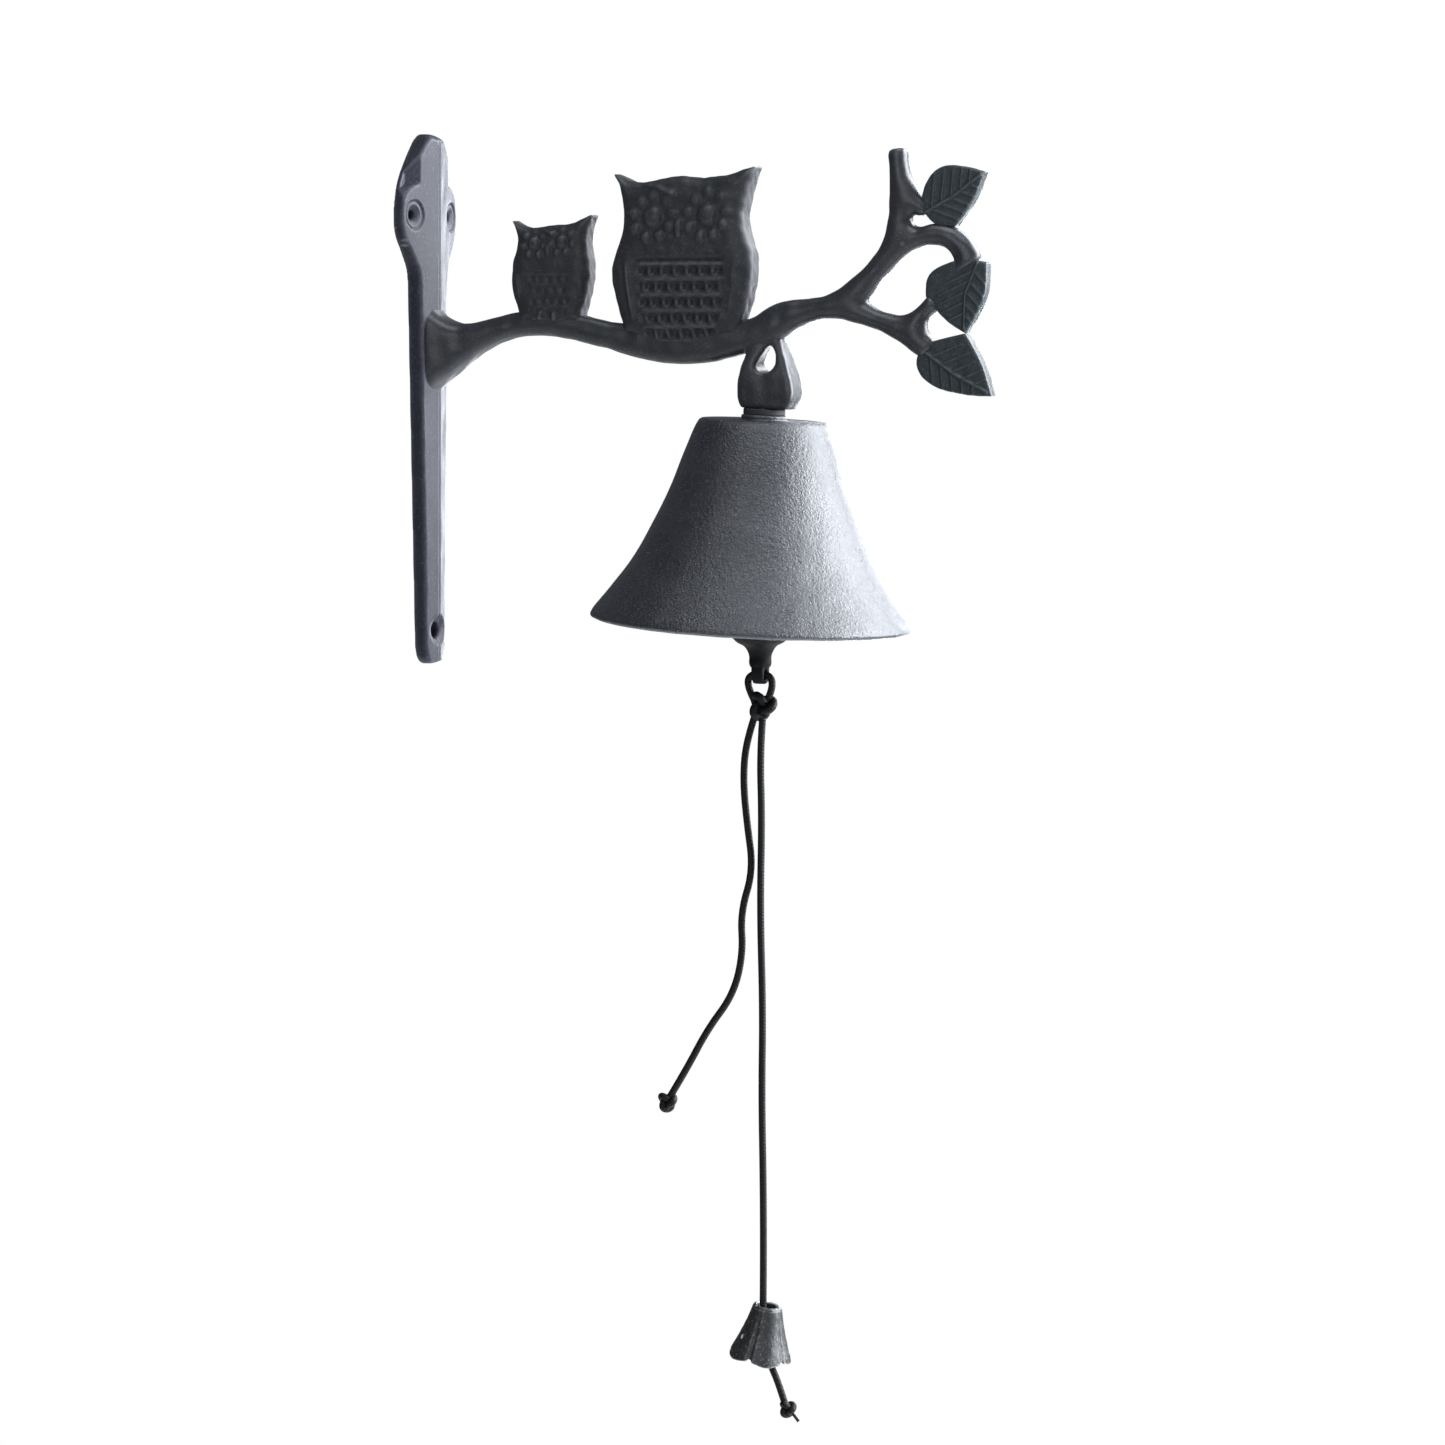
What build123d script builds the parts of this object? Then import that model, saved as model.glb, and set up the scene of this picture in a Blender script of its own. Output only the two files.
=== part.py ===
from build123d import *
import math
import os

# Wall mounted bell: one cast bracket (wall plate, branch, two owls, leaves, lug) that carries a cast
# bell, with a clapper on an S-hook inside it and a doubled cord with a flower-shaped pull weight.
# Frame: origin on the flat back of the wall plate, X away from the wall, Y along it, Z up. Millimetres.

os.makedirs("parts", exist_ok=True)

# ---- wall plate ----
plate_tip_z = 85.8
plate_foot_z = -85.8
plate_blank = 9.0
head_half_width = 19.2
strip_half_top = 9.5
strip_half_foot = 6.6
ridge_foot_x = 5.9
ridge_head_x = 7.5
gable_slope = math.tan(math.radians(10))
screw_z = 59.5
screw_half_spacing = 13.0
screw_hole_r = 1.7
screw_sink_r = 4.4
screw_pad_r = 9.4
foot_hole_z = -74.7
foot_hole_r = 2.7
foot_sink_r = 5.4
bevel_inner = (5.7, 9.5)
bevel_outer = (0.8, 16.0)

# ---- branch and figures ----
root_half = 7.5
branch_half = 4.6
twig_half = 3.8
twig_end_half = 2.8
owl_half = 6.0
small_owl_half = 5.0
leaf_half = 2.4
soft_edge = 1.0
owl_edge = 2.0

# ---- lug and bell axis ----
lug_half = 5.9
lug_foot_z = -1.7
hang_x = 120.0
lean_deg = 2.8
bolt_r = 3.0
tapped_depth = 8.6

# ---- pieces stacked down the leaning axis, as distances below the lug ----
seal_thick = 1.9
seal_r = 6.6
boss_r = 7.1
crown_top = 3.6
crown_under = 8.0
washer_thick = 1.0
washer_r = 6.5
nut_height = 4.0
nut_flats = 10.0
eye_wire_r = 1.8
eye_major_r = 5.6
eye_centre = 20.8
bell_height = 67.7
bell_lip_r = 52.0
bell_crown_r = 20.3
lip_edge_z = -66.0

# ---- S-hook and clapper, hanging plumb ----
hook_wire_r = 1.3
hook_loop_r = 4.6
fit_gap = 0.3
clapper_eye_major = 4.0
clapper_eye_wire = 1.5
rod_r = 2.5
ball_r = 11.5
ball_z = -66.5
tongue_hole_z = -85.3
tongue_hole_r = 1.5
tongue_half_x = 2.0
tongue_half_y = 3.2

# ---- cord and pull ----
cord_r = 1.15
pull_top_x = 121.5
pull_top_z = -289.0
pull_lean_deg = -9.5
pull_length = 17.4
pull_top_r = 4.4
pull_foot_r = 10.0
stop_knot_z = -300.2
lean = math.radians(lean_deg)


def lean_point(below):
    """Point on the leaning bell axis, a distance below the lug."""
    return (hang_x - below * math.sin(lean), 0, lug_foot_z - below * math.cos(lean))


lean_across = (math.cos(lean), 0, -math.sin(lean))
lean_up = (math.sin(lean), 0, math.cos(lean))
bell_section = Plane(origin=lean_point(0), x_dir=lean_across, z_dir=(0, -1, 0))
bell_axis = Axis(lean_point(0), lean_up)
eye_bottom = lean_point(eye_centre + eye_major_r)
plumb_x = eye_bottom[0]
hook_top_z = eye_bottom[2] + eye_wire_r + hook_wire_r + fit_gap - hook_loop_r
hook_low_z = hook_top_z - 2 * hook_loop_r
hook_seat_z = hook_low_z - hook_loop_r
clapper_eye_z = hook_seat_z + hook_wire_r + clapper_eye_wire + fit_gap - clapper_eye_major

# ---- bracket: wall plate, branch, owls, leaves and lug cast as one ----
with BuildPart() as head_bevel:
    bevel_run = bevel_outer[1] - bevel_inner[1]
    bevel_rise = bevel_inner[0] - bevel_outer[0]
    inner_x = bevel_inner[0] + bevel_rise * 0.4
    inner_y = bevel_inner[1] - bevel_run * 0.4
    outer_x = bevel_outer[0] - bevel_rise
    outer_y = bevel_outer[1] + bevel_run
    with BuildSketch(Plane.XY.offset(screw_z)):
        with BuildLine():
            Polyline((inner_x, inner_y), (outer_x, outer_y), (12, outer_y), (12, inner_y), close=True)
        make_face()
        mirror(about=Plane.XZ)
    extrude(amount=30)
    with BuildSketch(Plane.YZ.offset(-6)):
        with Locations((-screw_half_spacing, screw_z), (screw_half_spacing, screw_z)):
            Circle(screw_pad_r)
    extrude(amount=20, mode=Mode.SUBTRACT)

with BuildPart() as plate:
    with BuildSketch(Plane.YZ):
        with BuildLine():
            Spline(
                (strip_half_top, 34),
                (10.3, 41.5),
                (14.2, 47.6),
                (18.3, 53.2),
                (head_half_width, 59.5),
                (17.2, 68),
                (12.8, 75.2),
                (7.8, 81),
                (3.4, 84.8),
                (0, plate_tip_z),
                tangents=[(0.02, 1), (-1, 0)],
            )
            Line((strip_half_top, 34), (strip_half_foot, -80))
            Spline((strip_half_foot, -80), (4.6, -84.3), (0, plate_foot_z), tangents=[(-0.05, -1), (-1, 0)])
            Line((0, plate_foot_z), (0, plate_tip_z))
        make_face()
        mirror(about=Plane.YZ)
    extrude(amount=plate_blank)
    for level, ridge_x in ((-90, ridge_foot_x), (90, ridge_head_x)):
        eave_x = ridge_x - 25 * gable_slope
        with BuildSketch(Plane.XY.offset(level)):
            with BuildLine():
                Polyline((-1, -25), (eave_x, -25), (ridge_x, 0), (eave_x, 25), (-1, 25), close=True)
            make_face()
    loft(ruled=True, mode=Mode.INTERSECT)
    add(head_bevel.part, mode=Mode.SUBTRACT)
    with Locations(Plane.YZ.offset(ridge_foot_x)):
        with Locations((0, foot_hole_z)):
            CounterSinkHole(foot_hole_r, foot_sink_r, depth=plate_blank)
    with Locations(Plane.YZ.offset(ridge_head_x - screw_half_spacing * gable_slope - 0.4)):
        with Locations((-screw_half_spacing, screw_z), (screw_half_spacing, screw_z)):
            CounterSinkHole(screw_hole_r, screw_sink_r, depth=plate_blank)

with BuildPart() as limb:
    with BuildSketch(Plane.XZ):
        with BuildLine():
            Line((3, 0), (3, 38))
            Line((3, 38), (7, 35.5))
            Spline((7, 35.5), (9.3, 29.5), (15.2, 25.8), (25, 26.5), (36, 28.9), (50, 29.2), (71, 25.2))
            Spline((71, 25.2), (95, 25.6), (115, 26.4), (124, 31.2), (142, 34.2), (150, 39.4), (156, 45))
            Spline((156, 45), (160.4, 53), (161.8, 66), (161.2, 77.9), tangents=[(1, 1.2), (-0.1, 1)])
            Line((161.2, 77.9), (166.9, 78.4))
            Spline((166.9, 78.4), (167.1, 72), (170.4, 65.2), (174.2, 60.5))
            Spline((174.2, 60.5), (172.6, 58), (169.4, 58.6), (168.1, 55.9), (170.6, 53.6))
            Spline((170.6, 53.6), (178, 54.9), (185.4, 51.8), (190.9, 45.2))
            Line((190.9, 45.2), (183, 40))
            Spline((183, 40), (182.6, 45.8), (177.5, 49.2), (170, 48), (162.2, 41.7), (154, 31.4))
            Spline((154, 31.4), (160, 28.4), (168, 27.4), (175, 33.2))
            Line((175, 33.2), (177.5, 29.6))
            Spline((177.5, 29.6), (173.7, 26.4), (173.8, 21.6), (176.6, 18.8))
            Line((176.6, 18.8), (172.4, 14.6))
            Spline((172.4, 14.6), (164, 20), (153.5, 24.1), (142, 26.2), (132, 23.6), (124, 18.4))
            Line((124, 18.4), (112, 14.8))
            Spline((112, 14.8), (97, 12.1), (82, 12.9), (63, 17.7), (41, 20.9), (28.3, 18.3), (12, 7), (3, 0))
        make_face()
    extrude(amount=root_half, both=True)
    with BuildSketch(Plane.XY):
        with BuildLine():
            Spline((0, 9.5), (7, 7.4), (16, 5.6), (34, branch_half), tangents=[(0.5, -1), (1, 0)])
            Line((34, branch_half), (142, branch_half))
            Line((142, branch_half), (162, twig_half))
            Line((162, twig_half), (200, twig_end_half))
            Line((200, twig_end_half), (200, 0))
            Line((200, 0), (0, 0))
            Line((0, 0), (0, 9.5))
        make_face()
        mirror(about=Plane.XZ)
    extrude(amount=100, both=True, mode=Mode.INTERSECT)

with BuildPart() as large_owl:
    with BuildSketch(Plane.XZ):
        with BuildLine():
            Spline((75.4, 22), (72.4, 34.5), (71.6, 41.5), (75.4, 56), (74.2, 67), (72.2, 71.6))
            Spline((72.2, 71.6), (79, 69.3), (88, 70.2), (100, 69.9), (111.6, 71.9), (117.6, 72.9))
            Spline((117.6, 72.9), (114.8, 64), (113.4, 57.4), (116.4, 44.2), (114.6, 31.5), (111.6, 22))
            Line((111.6, 22), (75.4, 22))
        make_face()
    extrude(amount=owl_half, both=True)
    chamfer(large_owl.faces().sort_by(Axis.Y)[0].edges(), owl_edge)
    chamfer(large_owl.faces().sort_by(Axis.Y)[-1].edges(), owl_edge)

with BuildPart() as small_owl:
    with BuildSketch(Plane.XZ):
        with BuildLine():
            Spline((38.9, 26), (36, 36.5), (36.3, 43), (37.9, 52.5), (36.1, 57.2))
            Spline((36.1, 57.2), (40.6, 55.6), (48, 55.7), (55.6, 56.7), (61.6, 58.5))
            Spline((61.6, 58.5), (59.9, 52.6), (60.3, 41), (57.4, 26))
            Line((57.4, 26), (38.9, 26))
        make_face()
    extrude(amount=small_owl_half, both=True)
    chamfer(small_owl.faces().sort_by(Axis.Y)[0].edges(), owl_edge)
    chamfer(small_owl.faces().sort_by(Axis.Y)[-1].edges(), owl_edge)

with BuildPart() as leaves:
    with BuildSketch(Plane.XZ):
        with BuildLine():
            Spline((172, 61), (173.6, 67.4), (178.4, 72.4), (185.4, 72.6), (192.6, 70.8))
            Spline((192.6, 70.8), (189.4, 63), (183.4, 54.4))
            Spline((183.4, 54.4), (177.5, 54.9), (174, 57.6), (172, 61))
        make_face()
        with BuildLine():
            Spline((173.8, 33), (174.6, 39.2), (180.7, 43.2), (187, 44.2), (193.6, 43.4))
            Spline((193.6, 43.4), (193, 34), (190, 27), (186.7, 21.8))
            Spline((186.7, 21.8), (180.2, 26), (173.8, 33))
        make_face()
        with BuildLine():
            Spline((186.9, 21.9), (192.4, 12), (195.5, 2.6))
            Spline((195.5, 2.6), (186, 3.2), (174.6, 6.9), (171, 12), (172.5, 18.4))
            Spline((172.5, 18.4), (179, 20.2), (186.9, 21.9))
        make_face()
    extrude(amount=leaf_half, both=True)

with BuildPart() as lug:
    with BuildSketch(Plane.XZ):
        with BuildLine():
            Spline((114.6, 26), (114.6, 12), (113.1, 5), (115.4, -3), tangents=[(0, -1), (0.8, -1)])
            Line((115.4, -3), (128.4, -3))
            Spline((128.4, -3), (130.4, 5), (128.6, 14), (128.4, 26), tangents=[(0.8, 1), (0, 1)])
            Line((128.4, 26), (114.6, 26))
        make_face()
        with BuildLine():
            ThreePointArc((117.4, 13.4), (121.6, 9.4), (125.8, 13.4))
            Spline((125.8, 13.4), (125.2, 16.2), (122.6, 18.8), (119.4, 17.4), (117.4, 13.4))
        make_face(mode=Mode.SUBTRACT)
    extrude(amount=lug_half, both=True)
    split(bisect_by=Plane(origin=lean_point(0), z_dir=lean_up), keep=Keep.TOP)
    chamfer(lug.faces().sort_by(Axis.Z)[0].edges(), soft_edge)

with BuildPart() as bracket:
    add(plate.part)
    add(limb.part)
    add(large_owl.part)
    add(small_owl.part)
    add(leaves.part)
    add(lug.part)
    with BuildSketch(Plane(origin=lean_point(0), x_dir=lean_across, z_dir=lean_up)):
        Circle(bolt_r + 0.05)
    extrude(amount=tapped_depth + 0.4, mode=Mode.SUBTRACT)
bracket.part.label = "bracket"
export_step(bracket.part, "parts/bracket.step")

# ---- isolating washer between lug and bell ----
with BuildPart() as isolating_washer:
    with BuildSketch(bell_section):
        with Locations(((bolt_r + 0.2 + seal_r) / 2, -seal_thick / 2)):
            RectangleRounded(seal_r - bolt_r - 0.2, seal_thick, 0.4)
    revolve(axis=bell_axis)
isolating_washer.part.label = "isolating_washer"
export_step(isolating_washer.part, "parts/isolating_washer.step")

# ---- bell ----
with BuildPart() as bell:
    with BuildSketch(bell_section):
        with BuildLine():
            Line((bolt_r + 0.3, -seal_thick), (boss_r, -seal_thick))
            Line((boss_r, -seal_thick), (boss_r, -crown_top))
            Line((boss_r, -crown_top), (bell_crown_r, -crown_top))
            Spline(
                (bell_crown_r, -crown_top),
                (24.1, -13),
                (28.5, -25.8),
                (33.6, -37.2),
                (39, -48),
                (45.4, -57.4),
                (bell_lip_r - 0.2, lip_edge_z),
                tangents=[(0.36, -1), (0.5, -1)],
            )
            ThreePointArc((bell_lip_r - 0.2, lip_edge_z), (bell_lip_r - 0.2, -67.2), (50.4, -bell_height))
            Line((50.4, -bell_height), (47.6, -bell_height))
            Spline(
                (47.6, -bell_height),
                (40.2, -57.6),
                (33.9, -48),
                (28.8, -37.2),
                (23.8, -25.8),
                (19.4, -13.5),
                (15.5, -crown_under),
                tangents=[(-0.5, 1), (-0.9, 0.25)],
            )
            Line((15.5, -crown_under), (bolt_r + 0.3, -crown_under))
            Line((bolt_r + 0.3, -crown_under), (bolt_r + 0.3, -seal_thick))
        make_face()
    revolve(axis=bell_axis)
bell.part.label = "bell"
export_step(bell.part, "parts/bell.step")

# ---- eye bolt that holds the bell to the lug ----
with BuildPart() as eye_bolt:
    with BuildSketch(bell_section):
        with BuildLine():
            Polyline(
                (0, tapped_depth),
                (bolt_r - 0.7, tapped_depth),
                (bolt_r, tapped_depth - 0.7),
                (bolt_r, -eye_centre + eye_major_r),
                (0, -eye_centre + eye_major_r),
                close=True,
            )
        make_face()
    revolve(axis=bell_axis)
    eye_frame = Plane(origin=lean_point(eye_centre), x_dir=(0, 1, 0), z_dir=lean_across)
    with Locations(eye_frame):
        Torus(eye_major_r, eye_wire_r)
eye_bolt.part.label = "eye_bolt"
export_step(eye_bolt.part, "parts/eye_bolt.step")

# ---- plain washer and nut under the crown ----
with BuildPart() as crown_washer:
    with BuildSketch(bell_section):
        with Locations(((bolt_r + 0.2 + washer_r) / 2, -crown_under - washer_thick / 2)):
            Rectangle(washer_r - bolt_r - 0.2, washer_thick)
    revolve(axis=bell_axis)
crown_washer.part.label = "crown_washer"
export_step(crown_washer.part, "parts/crown_washer.step")

nut_top = crown_under + washer_thick
nut_plane = Plane(origin=lean_point(nut_top + nut_height), x_dir=lean_across, z_dir=lean_up)
with BuildPart() as hex_nut:
    with BuildSketch(nut_plane):
        RegularPolygon(nut_flats / 2, 6, major_radius=False)
        Circle(bolt_r + 0.05, mode=Mode.SUBTRACT)
    extrude(amount=nut_height)
hex_nut.part.label = "hex_nut"
export_step(hex_nut.part, "parts/hex_nut.step")

# ---- S-hook ----
with BuildPart() as s_hook:
    with BuildLine(Plane.XZ) as hook_path:
        CenterArc((plumb_x, hook_top_z), hook_loop_r, -55, 325)
        CenterArc((plumb_x, hook_low_z), hook_loop_r, 90, -325)
    start = hook_path.line @ 0
    heading = hook_path.line % 0
    with BuildSketch(Plane(origin=start, z_dir=heading)):
        Circle(hook_wire_r)
    sweep(path=hook_path.line)
s_hook.part.label = "s_hook"
export_step(s_hook.part, "parts/s_hook.step")

# ---- clapper: eye, rod, ball and flattened tongue ----
rod_top_z = clapper_eye_z - clapper_eye_major
plumb_section = Plane(origin=(plumb_x, 0, 0), x_dir=(1, 0, 0), z_dir=(0, -1, 0))
plumb_axis = Axis((plumb_x, 0, 0), (0, 0, 1))
with BuildPart() as clapper:
    with BuildSketch(plumb_section):
        with BuildLine():
            Line((0, rod_top_z), (rod_r, rod_top_z))
            Line((rod_r, rod_top_z), (rod_r, ball_z + ball_r * 0.97))
            ThreePointArc((rod_r, ball_z + ball_r * 0.97), (ball_r, ball_z), (7.9, ball_z - 8.36))
            Spline((7.9, ball_z - 8.36), (4.1, -77.6), (3.1, -83.2), tangents=[(-0.9, -0.8), (-0.1, -1)])
            Line((3.1, -83.2), (0, -83.2))
            Line((0, -83.2), (0, rod_top_z))
        make_face()
    revolve(axis=plumb_axis)
    with BuildSketch(Plane.YZ.offset(plumb_x - tongue_half_x)):
        with Locations((0, tongue_hole_z)):
            Circle(tongue_half_y)
        with Locations((0, tongue_hole_z + 2)):
            Rectangle(2 * tongue_half_y, 4)
    extrude(amount=2 * tongue_half_x)
    with BuildSketch(Plane.YZ.offset(plumb_x - 6)):
        with Locations((0, tongue_hole_z)):
            Circle(tongue_hole_r)
    extrude(amount=12, mode=Mode.SUBTRACT)
    with Locations(Plane(origin=(plumb_x, 0, clapper_eye_z), x_dir=(0, 1, 0), z_dir=(1, 0, 0))):
        Torus(clapper_eye_major, clapper_eye_wire)
clapper.part.label = "clapper"
export_step(clapper.part, "parts/clapper.step")


def cord_radii(route, tightest):
    """Arc radius at each inner point of a cord route: as large as the two runs beside it allow."""
    radii = []
    for before, here, after in zip(route, route[1:], route[2:]):
        run_in = Vector(*here) - Vector(*before)
        run_out = Vector(*after) - Vector(*here)
        half_turn = math.radians(run_in.get_angle(run_out)) / 2
        radii.append(max(tightest, 0.45 * min(run_in.length, run_out.length) / math.tan(half_turn)))
    print("cord radii", [round(radius, 1) for radius in radii])
    return radii


# ---- cord: loop and knot at the tongue, two hanging ends, and their knots ----
loop_route = [
    (plumb_x - 1.2, 0, -95.2),
    (plumb_x - 4.6, 0, -89.6),
    (plumb_x - 3.6, 0, tongue_hole_z),
    (plumb_x + 3.6, 0, tongue_hole_z),
    (plumb_x + 4.3, 0, -90.2),
    (plumb_x + 1.6, 0, -95.2),
]
knot_centre = (plumb_x + 0.6, 0, -96.0)
with BuildPart() as cord_knot:
    with BuildLine() as loop_line:
        FilletPolyline(*loop_route, radius=[2.0, 1.9, 1.9, 2.0])
    with BuildSketch(Plane(origin=loop_line.line @ 0, z_dir=loop_line.line % 0)):
        Circle(cord_r)
    sweep(path=loop_line.line)
    with Locations(knot_centre):
        Sphere(3.6)
cord_knot.part.label = "cord_knot"
export_step(cord_knot.part, "parts/cord_knot.step")

long_route = [
    (119.5, 0, -99.2),
    (118.6, 0, -111),
    (119.3, 0, -131),
    (118.7, 0, -160),
    (119.7, 0, -193),
    (119.3, 0, -220),
    (119.9, 0, -250),
    (120.0, 0, -276),
    (119.8, 0, -297),
]
short_route = [
    (117.0, 0, -98.3),
    (113.7, 0, -107.5),
    (112.9, 0, -120),
    (114.2, 0, -133),
    (116.4, 0, -148),
    (112.0, 0, -162),
    (112.9, 0, -175),
    (109.6, 0, -188.6),
    (100.6, 0, -200.6),
    (93.6, 0, -213.6),
    (87.3, 0, -223.9),
]
tail_route = [
    (120.6, 0, -303.4),
    (122.9, 0, -309.4),
    (125.2, 0, -314.2),
    (127.6, 0, -321.2),
]


def cord_tube(builder_label, route):
    """A plain round cord along straight runs joined by tangent arcs."""
    with BuildPart() as tube:
        with BuildLine() as line:
            FilletPolyline(*route, radius=cord_radii(route, cord_r))
        with BuildSketch(Plane(origin=line.line @ 0, z_dir=line.line % 0)):
            Circle(cord_r)
        sweep(path=line.line)
    tube.part.label = builder_label
    length = line.wire().length
    print(builder_label, "length", round(length, 1))
    print("volume over section times length", round(tube.part.volume / (math.pi * cord_r**2 * length), 4))
    return tube.part


long_cord = cord_tube("long_cord", long_route)
export_step(long_cord, "parts/long_cord.step")
short_cord = cord_tube("short_cord", short_route)
export_step(short_cord, "parts/short_cord.step")
tail_cord = cord_tube("tail_cord", tail_route)
export_step(tail_cord, "parts/tail_cord.step")

with BuildPart() as stop_knot:
    with Locations((119.9, 0, stop_knot_z)):
        Sphere(3.5)
stop_knot.part.label = "stop_knot"
export_step(stop_knot.part, "parts/stop_knot.step")

with BuildPart() as short_end_knot:
    with Locations(Plane(origin=(86.6, 0, -225.2), z_dir=(0.8, 0, -0.6))):
        Cylinder(2.5, 8.2)
    fillet(short_end_knot.edges().filter_by(GeomType.CIRCLE), 2.2)
short_end_knot.part.label = "short_end_knot"
export_step(short_end_knot.part, "parts/short_end_knot.step")

with BuildPart() as tail_knot:
    with Locations((127.9, 0, -322.3)):
        Sphere(2.1)
    with Locations((130.6, 0, -321.6)):
        Sphere(1.5)
    with Locations(Plane(origin=(130.9, 0, -324.6), z_dir=(0.74, 0, -0.62))):
        Cylinder(0.9, 7)
tail_knot.part.label = "tail_knot"
export_step(tail_knot.part, "parts/tail_knot.step")

# ---- pull weight: an upside-down flower ----
pull_lean = math.radians(pull_lean_deg)
pull_across = (math.cos(pull_lean), 0, math.sin(pull_lean))
pull_up = (-math.sin(pull_lean), 0, math.cos(pull_lean))
pull_section = Plane(origin=(pull_top_x, 0, pull_top_z), x_dir=pull_across, z_dir=(0, -1, 0))
with BuildPart() as pull_weight:
    with BuildSketch(pull_section):
        with BuildLine():
            Line((3.3, 0), (pull_top_r, 0))
            Spline((pull_top_r, 0), (6.6, -8), (pull_foot_r, -pull_length), tangents=[(0.2, -1), (0.5, -1)])
            Line((pull_foot_r, -pull_length), (pull_foot_r - 2, -pull_length))
            Spline((pull_foot_r - 2, -pull_length), (5.2, -9), (3.3, -4), tangents=[(-0.5, 1), (0, 1)])
            Line((3.3, -4), (3.3, 0))
        make_face()
    revolve(axis=Axis((pull_top_x, 0, pull_top_z), pull_up))
pull_weight.part.label = "pull_weight"
export_step(pull_weight.part, "parts/pull_weight.step")
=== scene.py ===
"""Wall mounted bell: a cast bracket with owls and leaves, a flared bell, its clapper and its pull cord.

Frame: origin on the flat back of the wall plate, X away from the wall, Y along it, Z up. The frame is in
metres. Shapes are drawn in millimetres, which to_frame() turns into metres.
"""

import logging
import math
from dataclasses import dataclass
from enum import Enum
from typing import Callable, Sequence

import bmesh
import bpy
import numpy as np
from mathutils import Matrix, Vector
from mathutils.kdtree import KDTree


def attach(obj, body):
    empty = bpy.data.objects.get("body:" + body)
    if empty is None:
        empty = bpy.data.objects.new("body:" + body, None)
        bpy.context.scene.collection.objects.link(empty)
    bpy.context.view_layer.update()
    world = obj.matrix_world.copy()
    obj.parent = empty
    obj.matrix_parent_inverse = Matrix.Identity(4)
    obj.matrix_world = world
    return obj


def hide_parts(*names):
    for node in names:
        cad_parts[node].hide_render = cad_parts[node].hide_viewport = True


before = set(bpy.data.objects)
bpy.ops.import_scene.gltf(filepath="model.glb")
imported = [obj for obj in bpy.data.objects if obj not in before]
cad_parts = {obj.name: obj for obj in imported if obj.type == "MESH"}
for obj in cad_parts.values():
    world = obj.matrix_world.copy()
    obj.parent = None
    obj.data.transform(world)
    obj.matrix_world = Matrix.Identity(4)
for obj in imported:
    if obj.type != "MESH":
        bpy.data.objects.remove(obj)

LOG = logging.getLogger("wall_bell")
MM = 0.001
Point = tuple[float, float]
Run = Sequence[Point]


class Body(Enum):
    """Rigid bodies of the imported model."""

    MOUNTED = "mounted"
    HOOK = "hook"
    CLAPPER = "clapper"
    CORD = "cord"
    PULL = "pull"


class Facing(Enum):
    """Plane in which a flat outline is drawn: its two coordinates, and the turn that stands it there."""

    ALONG_ARM = "xz"
    ALONG_WALL = "yz"

    def stand(self) -> Matrix:
        """Turn from the drawing plane (across, up, thickness) into the frame."""
        if self is Facing.ALONG_ARM:
            return Matrix.Rotation(math.pi / 2, 4, "X")
        return Matrix(((0, 0, 1, 0), (1, 0, 0, 0), (0, 1, 0, 0), (0, 0, 0, 1)))


# ---------------------------------------------------------------------------------------------------------
# Mesh helpers
# ---------------------------------------------------------------------------------------------------------


def bezier_mesh(runs: Sequence[Sequence[Run]], closed: bool, half: float, steps: int) -> bmesh.types.BMesh:
    """Draws smooth outlines, flat or as a plate of the given half thickness.

    Args:
        runs: Outlines, each a list of runs. The first point of a run is a corner, the others are smooth.
        closed: Whether each outline closes on itself.
        half: Half thickness of a filled plate, or 0 for the line alone.
        steps: Segments between two points.

    Returns:
        The drawing as a bmesh, in the drawing plane.
    """
    curve = bpy.data.curves.new("outline", "CURVE")
    curve.dimensions = "2D"
    curve.resolution_u = steps
    curve.fill_mode = "BOTH" if half else "NONE"
    curve.extrude = half
    for outline in runs:
        spline = curve.splines.new("BEZIER")
        points = [(point, n == 0) for run in outline for n, point in enumerate(run)]
        spline.bezier_points.add(len(points) - 1)
        spline.use_cyclic_u = closed
        for knot, (point, corner) in zip(spline.bezier_points, points):
            knot.co = (*point, 0)
            kind = "VECTOR" if corner else "AUTO"
            knot.handle_left_type = kind
            knot.handle_right_type = kind
    holder = bpy.data.objects.new("outline", curve)
    mesh = bpy.data.meshes.new_from_object(holder)
    bm = bmesh.new()
    bm.from_mesh(mesh)
    bpy.data.objects.remove(holder)
    bpy.data.curves.remove(curve)
    bpy.data.meshes.remove(mesh)
    bmesh.ops.remove_doubles(bm, verts=bm.verts, dist=0.002)
    return bm


def blank(outlines: Sequence[Sequence[Run]], half: float, facing: Facing) -> bmesh.types.BMesh:
    """A flat blank cut to smooth outlines, the first its edge and the others holes, centred on its plane."""
    bm = bezier_mesh(outlines, True, half, 8)
    bmesh.ops.transform(bm, matrix=facing.stand(), verts=bm.verts)
    bmesh.ops.recalc_face_normals(bm, faces=bm.faces)
    return bm


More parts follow.
